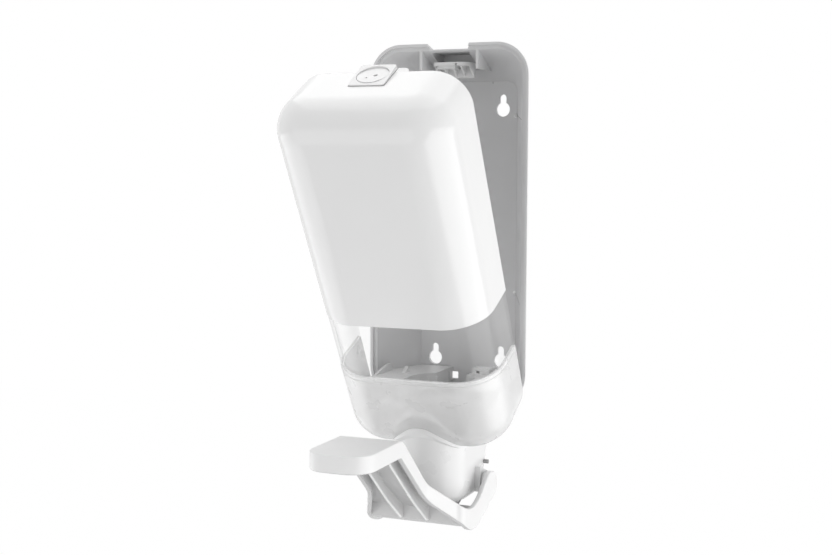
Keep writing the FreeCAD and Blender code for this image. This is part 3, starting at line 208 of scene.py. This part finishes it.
class Recipe:
    """A Geometry Nodes tree that is run on a base mesh and kept as a plain mesh."""

    def __init__(self, name: str, sizes: dict[str, float]) -> None:
        """Starts a tree with its geometry, its named sizes and its finish as inputs.

        Args:
            name: the tree's name.
            sizes: the named inputs and their first values, in metres or as counts.
        """
        self.tree = bpy.data.node_groups.new(name, "GeometryNodeTree")
        face = self.tree.interface
        face.new_socket("Geometry", in_out="INPUT", socket_type="NodeSocketGeometry")
        for label, value in sizes.items():
            face.new_socket(label, in_out="INPUT", socket_type="NodeSocketFloat").default_value = value
        face.new_socket("Finish", in_out="INPUT", socket_type="NodeSocketMaterial")
        face.new_socket("Geometry", in_out="OUTPUT", socket_type="NodeSocketGeometry")
        self.source = self.tree.nodes.new("NodeGroupInput").outputs
        self.output = self.tree.nodes.new("NodeGroupOutput")

    def add(self, kind: str, **settings: Any) -> bpy.types.Node:
        """Adds a node and sets its properties or the values of its inputs.

        Args:
            kind: the node's type.
            settings: properties of the node, or values of its inputs with spaces written as _.

        Returns:
            The new node.
        """
        node = self.tree.nodes.new(kind)
        set_values(node, settings)
        return node

    def link(self, source: bpy.types.NodeSocket, node: bpy.types.Node, target: str | int) -> None:
        """Links an output to a node's named or numbered input."""
        self.tree.links.new(source, node.inputs[target])

    def close(self, shape: bpy.types.NodeSocket) -> None:
        """Ends the tree by making the shape real and giving it the finish."""
        real = self.add("GeometryNodeRealizeInstances")
        finish = self.add("GeometryNodeSetMaterial")
        self.link(shape, real, "Geometry")
        self.link(real.outputs["Geometry"], finish, "Geometry")
        self.link(self.source["Finish"], finish, "Material")
        self.link(finish.outputs["Geometry"], self.output, "Geometry")

    def run(self, name: str, base: bpy.types.Mesh, finish: bpy.types.Material,
            sizes: dict[str, float]) -> bpy.types.Object:
        """Runs the tree on a base mesh and keeps the result as a plain mesh.

        Args:
            name: the piece's name.
            base: the points or edges that the tree works on.
            finish: the piece's material.
            sizes: values of the named inputs.

        Returns:
            The finished piece.
        """
        maker = bpy.data.objects.new(name + "_maker", base)
        bpy.context.scene.collection.objects.link(maker)
        modifier = maker.modifiers.new("recipe", "NODES")
        modifier.node_group = self.tree
        for item in self.tree.interface.items_tree:
            if item.in_out == "INPUT" and item.name in sizes:
                modifier[item.identifier] = sizes[item.name]
            if item.in_out == "INPUT" and item.name == "Finish":
                modifier[item.identifier] = finish
        graph = bpy.context.evaluated_depsgraph_get()
        mesh = bpy.data.meshes.new_from_object(maker.evaluated_get(graph), depsgraph=graph)
        bpy.data.objects.remove(maker)
        mesh.name = name
        mesh.materials.clear()
        mesh.materials.append(finish)
        piece = bpy.data.objects.new(name, mesh)
        bpy.context.scene.collection.objects.link(piece)
        return piece


class Recipes:
    """The trees for what repeats or follows a path."""

    def __init__(self) -> None:
        """Builds the trees."""
        self.bead = self.make_bead()
        self.dome = self.make_dome()

    def make_bead(self) -> Recipe:
        """Makes the tree that runs a round bead along the base's edges.

        Returns:
            The recipe, with the bead's Radius.
        """
        recipe = Recipe("bead_along_path", {"Radius": 0.0003})
        path = recipe.add("GeometryNodeMeshToCurve")
        circle = recipe.add("GeometryNodeCurvePrimitiveCircle", Resolution=8)
        tube = recipe.add("GeometryNodeCurveToMesh", Fill_Caps=True)
        smooth = recipe.add("GeometryNodeSetShadeSmooth")
        recipe.link(recipe.source["Geometry"], path, "Mesh")
        recipe.link(recipe.source["Radius"], circle, "Radius")
        recipe.link(path.outputs["Curve"], tube, "Curve")
        recipe.link(circle.outputs["Curve"], tube, "Profile Curve")
        recipe.link(tube.outputs["Mesh"], smooth, "Geometry")
        recipe.close(smooth.outputs["Geometry"])
        return recipe

    def make_dome(self) -> Recipe:
        """Makes the tree that sets a low dome, which faces forward, on each point of the base.

        Returns:
            The recipe, with the dome's Radius and Height.
        """
        recipe = Recipe("domes_on_points", {"Radius": 0.0015, "Height": 0.0006})
        ball = recipe.add("GeometryNodeMeshUVSphere", Segments=24, Rings=12, Radius=1.0)
        smooth = recipe.add("GeometryNodeSetShadeSmooth")
        points = recipe.add("GeometryNodeMeshToPoints")
        scale = recipe.add("ShaderNodeCombineXYZ")
        place = recipe.add("GeometryNodeInstanceOnPoints")
        recipe.link(ball.outputs["Mesh"], smooth, "Geometry")
        recipe.link(recipe.source["Geometry"], points, "Mesh")
        recipe.link(recipe.source["Radius"], scale, "X")
        recipe.link(recipe.source["Height"], scale, "Y")
        recipe.link(recipe.source["Radius"], scale, "Z")
        recipe.link(points.outputs["Points"], place, "Points")
        recipe.link(smooth.outputs["Geometry"], place, "Instance")
        recipe.link(scale.outputs["Vector"], place, "Scale")
        recipe.close(place.outputs["Instances"])
        return recipe


def path_mesh(name: str, paths: Sequence[Sequence[Vector]]) -> bpy.types.Mesh:
    """Makes a mesh of edges that run through each path's points.

    Args:
        name: the mesh's name.
        paths: the paths, each a row of points.

    Returns:
        The mesh of edges.
    """
    points: list[Vector] = []
    edges: list[tuple[int, int]] = []
    for path in paths:
        first = len(points)
        points.extend(path)
        last = len(points) - 1
        edges.extend((index, index + 1) for index in range(first, last))
    mesh = bpy.data.meshes.new(name)
    mesh.from_pydata([tuple(point) for point in points], edges, [])
    return mesh


def settle(piece: bpy.types.Object, body: Body) -> None:
    """Lets a piece move with its body and logs it.

    Args:
        piece: the finished piece.
        body: the body that carries it.
    """
    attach(piece, body.value)
    LOG.info("made %s on %s", piece.name, body.value)


@dataclass(frozen=True)
class CoverShape:
    """The form that the cover's skin and the hinge follow, in metres, drawn shut."""

    half_width: float = 0.056
    top: float = 0.1295
    bottom: float = -0.1215
    depth_top: float = 0.100
    depth_bottom: float = 0.0965
    corner_top: float = 0.026
    corner_bottom: float = 0.029
    rear: float = -0.0463
    housing_front: float = -0.046
    hinge: Vector = Vector((0.0, -0.0516, -0.10585))
    open_angle: float = math.radians(28.9)

    def opened(self, point: Vector) -> Vector:
        """Swings a point of the shut cover to where it stands when open."""
        return Matrix.Rotation(self.open_angle, 3, "X") @ (point - self.hinge) + self.hinge

    def seam_level(self, y: float, front_rise: float, rear_rise: float) -> float:
        """Gives how high a seam lies at a depth.

        Args:
            y: the depth.
            front_rise: the seam's height above the cover's foot at the front.
            rear_rise: the same at the rear.

        Returns:
            The height on Z.
        """
        slope = (rear_rise - front_rise) / (self.depth_top + self.housing_front)
        return self.bottom + rear_rise + slope * (y - self.housing_front)

    def seam(self, front_rise: float, rear_rise: float, inset: float, corner_steps: int = 18) -> list[Vector]:
        """Lists points along a seam round the open cover, from its right rear to its left rear.

        Args:
            front_rise: the seam's height above the cover's foot at the front.
            rear_rise: the same at the rear.
            inset: how far the points lie below the skin.
            corner_steps: the points round each corner.

        Returns:
            The points in the open pose.
        """
        level = self.seam_level(-self.depth_bottom, front_rise, rear_rise)
        share = (level - self.bottom) / (self.top - self.bottom)
        depth = self.depth_bottom + (self.depth_top - self.depth_bottom) * share - inset
        corner = self.corner_bottom + (self.corner_top - self.corner_bottom) * share - inset
        half = self.half_width - inset
        flat = [(half, self.rear), (half, (self.rear - depth + corner) / 2)]
        for index in range(corner_steps + 1):
            turn = math.pi / 2 * index / corner_steps
            flat.append((half - corner + corner * math.cos(turn), -depth + corner - corner * math.sin(turn)))
        flat += [(-x, y) for x, y in reversed(flat)]
        return [self.opened(Vector((x, y, self.seam_level(y, front_rise, rear_rise)))) for x, y in flat]


@dataclass(frozen=True)
class MouldedPlastic:
    """Moulded opaque plastic: a fine skin, faint flow marks, light scuffs, softened edges and, where under is
    below 1, painted shade on the underside.
    """

    name: str
    colour: Colour
    roughness: float = 0.35
    shade: float = 0.94
    skin_scale: float = 2600.0
    skin_depth: float = 0.000005
    flow_depth: float = 0.00004
    coat: float = 0.0
    coat_roughness: float = 0.12
    scuffs: float = 0.10
    soft_edge: float = 0.00035
    # under darkens the colour as painted shade on faces that look down and in the listed zones between the
    # lever's arms and ribs, where shade falls; 1 leaves the colour as it is.
    under: float = 1.0
    painted_shade_zones: tuple[tuple[float, float, float], ...] = (  # half width, top and front edge of each
        (0.0165, -0.128, -0.230),
        (0.0315, -0.160, -0.104),
    )

    def painted_shade_share(self, graph: ShaderGraph) -> bpy.types.NodeSocket:
        """Finds where the shade is painted: faces that look down, and the ribs among them.

        Args:
            graph: the material's graph.

        Returns:
            A share that is 1 where the shade is painted.
        """
        facing = graph.add("SeparateXYZ")
        graph.link(graph.nodes.new("ShaderNodeTexCoord").outputs["Normal"], facing, 0)
        share = graph.spread(facing.outputs["Z"], -0.60, -0.30, 1.0, 0.0)
        place = graph.add("SeparateXYZ")
        graph.link(graph.place, place, 0)
        across = graph.add("Math", operation="ABSOLUTE")
        graph.link(place.outputs["X"], across, 0)
        for half, top, front in self.painted_shade_zones:
            between = graph.spread(across.outputs[0], half, half + 0.002, 1.0, 0.0)
            below = graph.spread(place.outputs["Z"], top, top + 0.006, 1.0, 0.0)
            behind = graph.spread(place.outputs["Y"], front - 0.003, front, 0.0, 1.0)
            zone = graph.join("MULTIPLY", graph.join("MULTIPLY", between, below), behind)
            share = graph.join("MAXIMUM", share, zone)
        return share

    def tint(self, graph: ShaderGraph) -> bpy.types.NodeSocket:
        """Mixes the colour with its broad, faint variation, and darkens it by under as painted shade where
        the painted shade share is 1.

        Args:
            graph: the material's graph.

        Returns:
            The colour.
        """
        broad = graph.spread(graph.noise(22.0, 3.0), 0.35, 0.65, 0.0, 1.0)
        darker = tuple(channel * self.shade for channel in self.colour)
        colour = graph.blend(broad, darker, self.colour)
        if self.under == 1.0:
            return colour
        # painted shade: the colour times under on the underside and between the ribs
        shaded_colour = graph.add("Mix", data_type="RGBA", blend_type="MULTIPLY")
        graph.link(self.painted_shade_share(graph), shaded_colour, 0)
        graph.link(colour, shaded_colour, 6)
        shaded_colour.inputs[7].default_value = (self.under, self.under, self.under, 1.0)
        return shaded_colour.outputs[2]

    def build(self) -> bpy.types.Material:
        """Makes the material.

        Returns:
            The finished material.
        """
        graph = ShaderGraph(self.name)
        shader = graph.add("BsdfPrincipled", IOR=1.49)
        shader.inputs["Coat Weight"].default_value = self.coat
        shader.inputs["Coat Roughness"].default_value = self.coat_roughness
        graph.link(self.tint(graph), shader, "Base Color")
        marks = graph.spread(graph.noise(180.0, 6.0, 1.6), 0.60, 0.74, 0.0, self.scuffs)
        haze = graph.spread(graph.noise(60.0, 2.0), 0.3, 0.7, self.roughness - 0.04, self.roughness + 0.04)
        rough = graph.add("Math", operation="ADD", use_clamp=True)
        graph.link(haze, rough, 0)
        graph.link(marks, rough, 1)
        graph.link(rough.outputs[0], shader, "Roughness")
        edge = graph.add("Bevel", samples=4, Radius=self.soft_edge)
        flow = graph.relief(graph.noise(9.0, 1.0), self.flow_depth, edge.outputs["Normal"])
        skin = graph.relief(graph.noise(self.skin_scale, 3.0), self.skin_depth, flow)
        graph.link(skin, shader, "Normal")
        return graph.close(shader.outputs["BSDF"])


@dataclass(frozen=True)
class ClearPlastic:
    """Thin clear or frosted plastic, seen through by what stands behind it."""

    name: str
    colour: Colour
    veil: float
    roughness: float
    haze: float
    gloss: float
    edge_gloss: float = 0.55
    edge_power: float = 4.0
    cloud_scale: float = 700.0
    skin_scale: float = 1400.0
    skin_depth: float = 0.000004

    def build(self) -> bpy.types.Material:
        """Makes the material from a see-through share, a milky share and a gloss on top.

        Returns:
            The finished material.
        """
        graph = ShaderGraph(self.name)
        clear = graph.add("BsdfTransparent", Color=(*self.colour, 1.0))
        milk = graph.add("BsdfPrincipled", Roughness=0.7)
        milk.inputs["Base Color"].default_value = (*self.colour, 1.0)
        skin = graph.relief(graph.noise(self.skin_scale, 2.0), self.skin_depth)
        graph.link(skin, milk, "Normal")
        cloud = graph.spread(graph.noise(self.cloud_scale, 4.0), 0.3, 0.7,
                             self.veil - self.haze, self.veil + self.haze)
        body = graph.add("MixShader")
        graph.link(cloud, body, 0)
        graph.link(clear.outputs[0], body, 1)
        graph.link(milk.outputs["BSDF"], body, 2)
        gloss = graph.add("BsdfGlossy")
        graph.link(skin, gloss, "Normal")
        graph.link(graph.spread(graph.noise(70.0, 4.0), 0.3, 0.7, self.roughness, self.roughness + 0.08),
                   gloss, "Roughness")
        rim = graph.add("LayerWeight", Blend=0.5)
        steep = graph.add("Math", operation="POWER")
        steep.inputs[1].default_value = self.edge_power
        graph.link(rim.outputs["Facing"], steep, 0)
        share = graph.add("Math", operation="MULTIPLY_ADD", use_clamp=True)
        share.inputs[1].default_value = self.edge_gloss
        share.inputs[2].default_value = self.gloss
        graph.link(steep.outputs[0], share, 0)
        mixed = graph.add("MixShader")
        graph.link(share.outputs[0], mixed, 0)
        graph.link(body.outputs[0], mixed, 1)
        graph.link(gloss.outputs[0], mixed, 2)
        return graph.close(mixed.outputs[0])


@dataclass(frozen=True)
class DrawnSteel:
    """Bright steel wire or rod, with fine drawing lines and faint stains."""

    name: str
    colour: Colour = (0.62, 0.62, 0.63)
    roughness: float = 0.28

    def build(self) -> bpy.types.Material:
        """Makes the material.

        Returns:
            The finished material.
        """
        graph = ShaderGraph(self.name)
        shader = graph.add("BsdfPrincipled", Metallic=1.0)
        stain = graph.spread(graph.noise(300.0, 4.0), 0.4, 0.7, 0.0, 1.0)
        darker = tuple(channel * 0.8 for channel in self.colour)
        graph.link(graph.blend(stain, self.colour, darker), shader, "Base Color")
        lines = graph.noise(5200.0, 2.0)
        rough = graph.spread(lines, 0.2, 0.8, self.roughness - 0.06, self.roughness + 0.1)
        graph.link(rough, shader, "Roughness")
        graph.link(graph.relief(lines, 0.000006), shader, "Normal")
        return graph.close(shader.outputs["BSDF"])


class Finishes:
    """Every finish of the dispenser, built once."""

    def __init__(self) -> None:
        """Builds the materials."""
        self.cover_white = MouldedPlastic("cover_white", (0.84, 0.84, 0.84), 0.20, coat=0.20, shade=0.992,
                                          scuffs=0.02).build()
        # the lever's white is darkened to 0.78 as painted shade on its underside and between its ribs
        self.lever_white = MouldedPlastic("lever_white", (0.84, 0.84, 0.84), 0.34, shade=0.98, scuffs=0.04,
                                          under=0.78).build()
        self.spout_white = MouldedPlastic("spout_white", (0.82, 0.82, 0.82), 0.30, shade=0.98,
                                          scuffs=0.04).build()
        self.housing_grey = MouldedPlastic("housing_grey", (0.66, 0.66, 0.665), 0.42, shade=0.97).build()
        self.inner_grey = MouldedPlastic("inner_grey", (0.72, 0.72, 0.72), 0.42, shade=0.97).build()
        self.lock_grey = MouldedPlastic("lock_grey", (0.84, 0.84, 0.84), 0.34, shade=0.98,
                                        scuffs=0.04).build()
        self.seam_grey = MouldedPlastic("seam_grey", (0.16, 0.16, 0.16), 0.6, shade=0.9).build()
        self.stub_grey = MouldedPlastic("stub_grey", (0.36, 0.36, 0.36), 0.45, shade=0.9).build()
        self.rim_white = MouldedPlastic("rim_white", (0.88, 0.88, 0.88), 0.25, shade=0.98,
                                        scuffs=0.02).build()
        self.clear_band = ClearPlastic("clear_band", (0.99, 0.99, 0.99), 0.012, 0.13, 0.006,
                                       gloss=0.02).build()
        self.frosted_foot = ClearPlastic("frosted_foot", (0.99, 0.99, 0.99), 0.52, 0.26, 0.005,
                                         gloss=0.09).build()
        self.steel = DrawnSteel("drawn_steel").build()


def dress(node: str, finish: bpy.types.Material) -> None:
    """Gives a solid one finish in all its slots.

    Args:
        node: the solid's name.
        finish: the material.
    """
    mesh = bpy.data.objects[node].data
    mesh.materials.clear()
    mesh.materials.append(finish)
    LOG.info("dressed %s in %s", node, finish.name)


@dataclass
class BackHousing:
    """The dish on the wall, with its catch and bottle shelf."""

    floor_y: float = -0.003
    pips: tuple[tuple[float, float], ...] = (
        (0.0340, 0.0830), (0.0347, -0.0390), (-0.0340, 0.0830), (-0.0347, -0.0390),
    )
    pip_radius: float = 0.0015
    pip_height: float = 0.0025
    line_radius: float = 0.00018
    line_start_x: float = 0.0353
    line_end_y: float = -0.040
    line_fall: float = 0.0042
    wall_run: float = 0.395
    tick_x: float = 0.0172
    tick_z: float = 0.1065
    tick_length: float = 0.0014

    def build(self, finishes: Finishes, recipes: Recipes) -> None:
        """Dresses the housing's solids and adds its moulding marks.

        Args:
            finishes: the dispenser's materials.
            recipes: the trees for what repeats.
        """
        dress("back_housing", finishes.housing_grey)
        dress("lock_catch", finishes.inner_grey)
        dress("bottle_shelf", finishes.inner_grey)
        dress("hinge_pins", finishes.steel)
        self.add_pips(finishes, recipes)
        self.add_wall_lines(finishes, recipes)

    def add_pips(self, finishes: Finishes, recipes: Recipes) -> None:
        """Sets the four low pips beside the side walls.

        Args:
            finishes: the dispenser's materials.
            recipes: the trees for what repeats.
        """
        mesh = bpy.data.meshes.new("pip_points")
        mesh.from_pydata([(x, self.floor_y, z) for x, z in self.pips], [], [])
        sizes = {"Radius": self.pip_radius, "Height": self.pip_height}
        # The pips take rim_white, far lighter than the housing's grey: a painted highlight on the pips.
        piece = recipes.dome.run("wall_pips", mesh, finishes.rim_white, sizes)
        settle(piece, Body.HOUSING)

    def add_wall_lines(self, finishes: Finishes, recipes: Recipes) -> None:
        """Runs a thin line from each pip up the side wall to the rim, and a short tick below the ledge.

        Args:
            finishes: the dispenser's materials.
            recipes: the trees for what repeats.
        """
        paths = []
        for x, z in self.pips:
            side = math.copysign(1.0, x)
            foot = Vector((side * self.line_start_x, self.floor_y, z))
            reach = self.line_end_y - self.floor_y
            head = foot + Vector((-side * self.wall_run * reach, reach, -self.line_fall))
            paths.append([foot, head])
        tick = Vector((self.tick_x, self.floor_y, self.tick_z))
        paths.append([tick, tick - Vector((0.0, 0.0, self.tick_length))])
        mesh = path_mesh("wall_line_paths", paths)
        sizes = {"Radius": self.line_radius}
        piece = recipes.bead.run("wall_lines", mesh, finishes.seam_grey, sizes)
        settle(piece, Body.HOUSING)


@dataclass
class FrontCover:
    """The hinged cover: white shell, clear band, frosted foot, lock and latch."""

    shape: CoverShape = CoverShape()
    foot_front_rise: float = 0.063
    foot_rear_rise: float = 0.0575
    rim_radius: float = 0.0005
    rim_inset: float = 0.0006
    step_drop: float = 0.0026
    step_radius: float = 0.00022
    step_inset: float = 0.00005
    plate_half_width: float = 0.0113
    plate_front: float = -0.0650
    plate_rear: float = -0.0415
    seam_radius: float = 0.0002

    def build(self, finishes: Finishes, recipes: Recipes) -> None:
        """Dresses the cover's solids and adds its rims and seams.

        Args:
            finishes: the dispenser's materials.
            recipes: the trees for what repeats.
        """
        dress("cover_shell", finishes.cover_white)
        dress("window_band", finishes.clear_band)
        dress("lower_shell", finishes.frosted_foot)
        dress("hinge_brackets", finishes.inner_grey)
        dress("lock_plate", finishes.lock_grey)
        dress("lock_barrel", finishes.lock_grey)
        dress("lock_ring", finishes.inner_grey)
        dress("lock_cam", finishes.inner_grey)
        dress("latch_hook", finishes.lock_grey)
        dress("latch_guide", finishes.inner_grey)
        dress("latch_springs", finishes.steel)
        self.add_foot_rim(finishes, recipes)
        self.add_plate_seam(finishes, recipes)

    def add_foot_rim(self, finishes: Finishes, recipes: Recipes) -> None:
        """Runs the bright rim along the frosted foot's top edge and the fine step below it.

        Args:
            finishes: the dispenser's materials.
            recipes: the trees for what repeats.
        """
        rim = self.shape.seam(self.foot_front_rise, self.foot_rear_rise, self.rim_inset)
        sizes = {"Radius": self.rim_radius}
        mesh = path_mesh("foot_rim_path", [rim])
        piece = recipes.bead.run("foot_rim", mesh, finishes.rim_white, sizes)
        settle(piece, Body.COVER)
        step = self.shape.seam(self.foot_front_rise - self.step_drop, self.foot_rear_rise - self.step_drop,
                               self.step_inset)
        sizes = {"Radius": self.step_radius}
        mesh = path_mesh("foot_step_path", [step])
        piece = recipes.bead.run("foot_step", mesh, finishes.inner_grey, sizes)
        settle(piece, Body.COVER)

    def add_plate_seam(self, finishes: Finishes, recipes: Recipes) -> None:
        """Runs the dark seam round the lock's plate.

        Args:
            finishes: the dispenser's materials.
            recipes: the trees for what repeats.
        """
        half, level = self.plate_half_width, self.shape.top
        right = [(half, self.plate_rear), (half, self.plate_front)]
        flat = right + [(-x, y) for x, y in reversed(right)]
        points = [self.shape.opened(Vector((x, y, level))) for x, y in flat]
        mesh = path_mesh("plate_seam_path", [points])
        sizes = {"Radius": self.seam_radius}
        settle(recipes.bead.run("plate_seam", mesh, finishes.seam_grey, sizes), Body.COVER)


@dataclass
class SpoutAndLever:
    """The spout housing, its pump pusher and the arm lever round it."""

    peg_y: float = -0.0368
    peg_z: float = -0.1516
    peg_radius: float = 0.00145
    peg_start: float = 0.0246
    peg_end: float = 0.0279
    rib_x: float = 0.009
    rib_edge: tuple[tuple[float, float], ...] = ((-0.1655, -0.1261), (-0.1240, -0.1613), (-0.1022, -0.1773))
    rib_radius: float = 0.0009

    def build(self, finishes: Finishes, recipes: Recipes) -> None:
        """Dresses the spout's and the lever's solids, sleeves the spring pegs and rounds the ribs' edges.

        Args:
            finishes: the dispenser's materials.
            recipes: the trees for what repeats.
        """
        dress("spout_housing", finishes.spout_white)
        dress("outlet_collar", finishes.inner_grey)
        dress("pump_pusher", finishes.inner_grey)
        dress("lever", finishes.lever_white)
        dress("lever_pins", finishes.steel)
        dress("lever_springs", finishes.steel)
        paths = [[Vector((side * x, self.peg_y, self.peg_z)) for x in (self.peg_start, self.peg_end)]
                 for side in (1.0, -1.0)]
        mesh = path_mesh("peg_paths", paths)
        sizes = {"Radius": self.peg_radius}
        settle(recipes.bead.run("peg_sleeves", mesh, finishes.stub_grey, sizes), Body.COVER)
        # The ribs' edge beads take rim_white, a lighter white than the lever's: a painted highlight along the
        # ribs' front edges.
        paths = [[Vector((side * self.rib_x, y, z)) for y, z in self.rib_edge] for side in (1.0, -1.0)]
        mesh = path_mesh("rib_paths", paths)
        sizes = {"Radius": self.rib_radius}
        settle(recipes.bead.run("rib_edges", mesh, finishes.rim_white, sizes), Body.LEVER)


@dataclass(frozen=True)
class Softbox:
    """A soft rectangular light, as bright on its face as its glow says, where 1 is white."""

    name: str
    place: Vector
    width: float
    height: float
    glow: float

    def hang(self, aim: Vector) -> None:
        """Hangs the light and turns it to what it lights.

        Args:
            aim: the middle of the object.
        """
        data = bpy.data.lights.new(self.name, "AREA")
        data.shape = "RECTANGLE"
        data.size = self.width
        data.size_y = self.height
        data.energy = self.glow * math.pi * self.width * self.height
        lamp = bpy.data.objects.new(self.name, data)
        bpy.context.scene.collection.objects.link(lamp)
        lamp.location = self.place
        lamp.rotation_mode = "QUATERNION"
        lamp.rotation_quaternion = (aim - self.place).to_track_quat("-Z", "Y")


@dataclass
class Studio:
    """The camera, the floor and the soft lights."""

    eye: Vector = Vector((0.31183, -0.86243, 0.04769))
    yaw: float = 22.243
    pitch: float = -4.851
    roll: float = 0.239
    lens: float = 56.36
    floor_level: float = -1.40
    floor_half: float = 6.0
    aim: Vector = Vector((0.0, -0.09, 0.0))
    surround: float = 0.55
    floor_white: float = 0.24
    floor_glow: float = 0.999
    boxes: tuple[Softbox, ...] = (
        Softbox("right_box", Vector((1.37, -0.04, -0.61)), 2.30, 1.56, 1.95),
        Softbox("left_box", Vector((-1.32, -0.20, -0.70)), 1.46, 1.40, 1.25),
        Softbox("top_box", Vector((-0.10, 0.20, 1.50)), 2.20, 2.50, 1.05),
        Softbox("front_box", Vector((-0.66, -2.00, -0.62)), 2.80, 1.60, 1.05),
    )

    def build(self) -> None:
        """Makes the stage."""
        self.make_camera()
        self.make_floor()
        self.make_world()
        self.make_lamps()
        bpy.context.scene.view_settings.view_transform = "Standard"

    def make_camera(self) -> None:
        """Stands the camera where the photograph was taken from."""
        data = bpy.data.cameras.new("camera")
        data.lens = self.lens
        data.sensor_width = 36.0
        data.clip_end = 20.0
        camera = bpy.data.objects.new("camera", data)
        bpy.context.scene.collection.objects.link(camera)
        yaw, pitch, roll = (math.radians(angle) for angle in (self.yaw, self.pitch, self.roll))
        ahead = Vector((-math.sin(yaw) * math.cos(pitch), math.cos(yaw) * math.cos(pitch), math.sin(pitch)))
        level = Vector((math.cos(yaw), math.sin(yaw), 0.0))
        above = level.cross(ahead)
        right = level * math.cos(roll) + above * math.sin(roll)
        up = above * math.cos(roll) - level * math.sin(roll)
        turn = Matrix((right, up, -ahead)).transposed()
        camera.matrix_world = Matrix.Translation(self.eye) @ turn.to_4x4()
        bpy.context.scene.camera = camera

    def make_floor(self) -> None:
        """Lays a pale floor that the camera sees as white away from the shadow."""
        mesh = bpy.data.meshes.new("floor")
        half, z = self.floor_half, self.floor_level
        corners = [(-half, -half, z), (half, -half, z), (half, half, z), (-half, half, z)]
        mesh.from_pydata(corners, [], [(0, 1, 2, 3)])
        floor = bpy.data.objects.new("floor", mesh)
        bpy.context.scene.collection.objects.link(floor)
        graph = ShaderGraph("pale_floor")
        matt = graph.add("BsdfPrincipled", Roughness=0.9)
        matt.inputs["Base Color"].default_value = (*[self.floor_white] * 3, 1.0)
        glow = graph.add("Emission", Strength=1.0)
        path = graph.add("LightPath")
        seen = graph.join("MAXIMUM", path.outputs["Is Camera Ray"], path.outputs["Is Transmission Ray"])
        share = graph.add("Math", operation="MULTIPLY")
        share.inputs[1].default_value = self.floor_glow
        graph.link(graph.join("MAXIMUM", seen, path.outputs["Is Glossy Ray"]), share, 0)
        mixed = graph.add("MixShader")
        graph.link(share.outputs[0], mixed, 0)
        graph.link(matt.outputs["BSDF"], mixed, 1)
        graph.link(glow.outputs[0], mixed, 2)
        mesh.materials.append(graph.close(mixed.outputs[0]))

    def make_world(self) -> None:
        """Makes a white surround for the eye and for reflections, and a soft fill for the light."""
        world = bpy.data.worlds.new("studio")
        bpy.context.scene.world = world
        world.use_nodes = True
        nodes, links = world.node_tree.nodes, world.node_tree.links
        nodes.clear()
        fill = nodes.new("ShaderNodeBackground")
        fill.inputs["Color"].default_value = (1.0, 1.0, 1.0, 1.0)
        fill.inputs["Strength"].default_value = self.surround
        white = nodes.new("ShaderNodeBackground")
        white.inputs["Color"].default_value = (1.0, 1.0, 1.0, 1.0)
        white.inputs["Strength"].default_value = 1.0
        path = nodes.new("ShaderNodeLightPath")
        seen, mirrored = nodes.new("ShaderNodeMath"), nodes.new("ShaderNodeMath")
        seen.operation = mirrored.operation = "MAXIMUM"
        links.new(path.outputs["Is Camera Ray"], seen.inputs[0])
        links.new(path.outputs["Is Transmission Ray"], seen.inputs[1])
        links.new(seen.outputs[0], mirrored.inputs[0])
        links.new(path.outputs["Is Glossy Ray"], mirrored.inputs[1])
        mixed = nodes.new("ShaderNodeMixShader")
        links.new(mirrored.outputs[0], mixed.inputs[0])
        links.new(fill.outputs[0], mixed.inputs[1])
        links.new(white.outputs[0], mixed.inputs[2])
        out = nodes.new("ShaderNodeOutputWorld")
        links.new(mixed.outputs[0], out.inputs["Surface"])

    def make_lamps(self) -> None:
        """Hangs the soft boxes to the right, to the left, overhead and in front."""
        for softbox in self.boxes:
            softbox.hang(self.aim)


def main() -> None:
    """Loads the frame and builds the stage and the sub-assemblies in order."""
    logging.basicConfig(level=logging.INFO, format="%(name)s: %(message)s")
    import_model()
    Studio().build()
    finishes, recipes = Finishes(), Recipes()
    for part in (BackHousing(), FrontCover(), SpoutAndLever()):
        part.build(finishes, recipes)


if __name__ == "__main__":
    main()
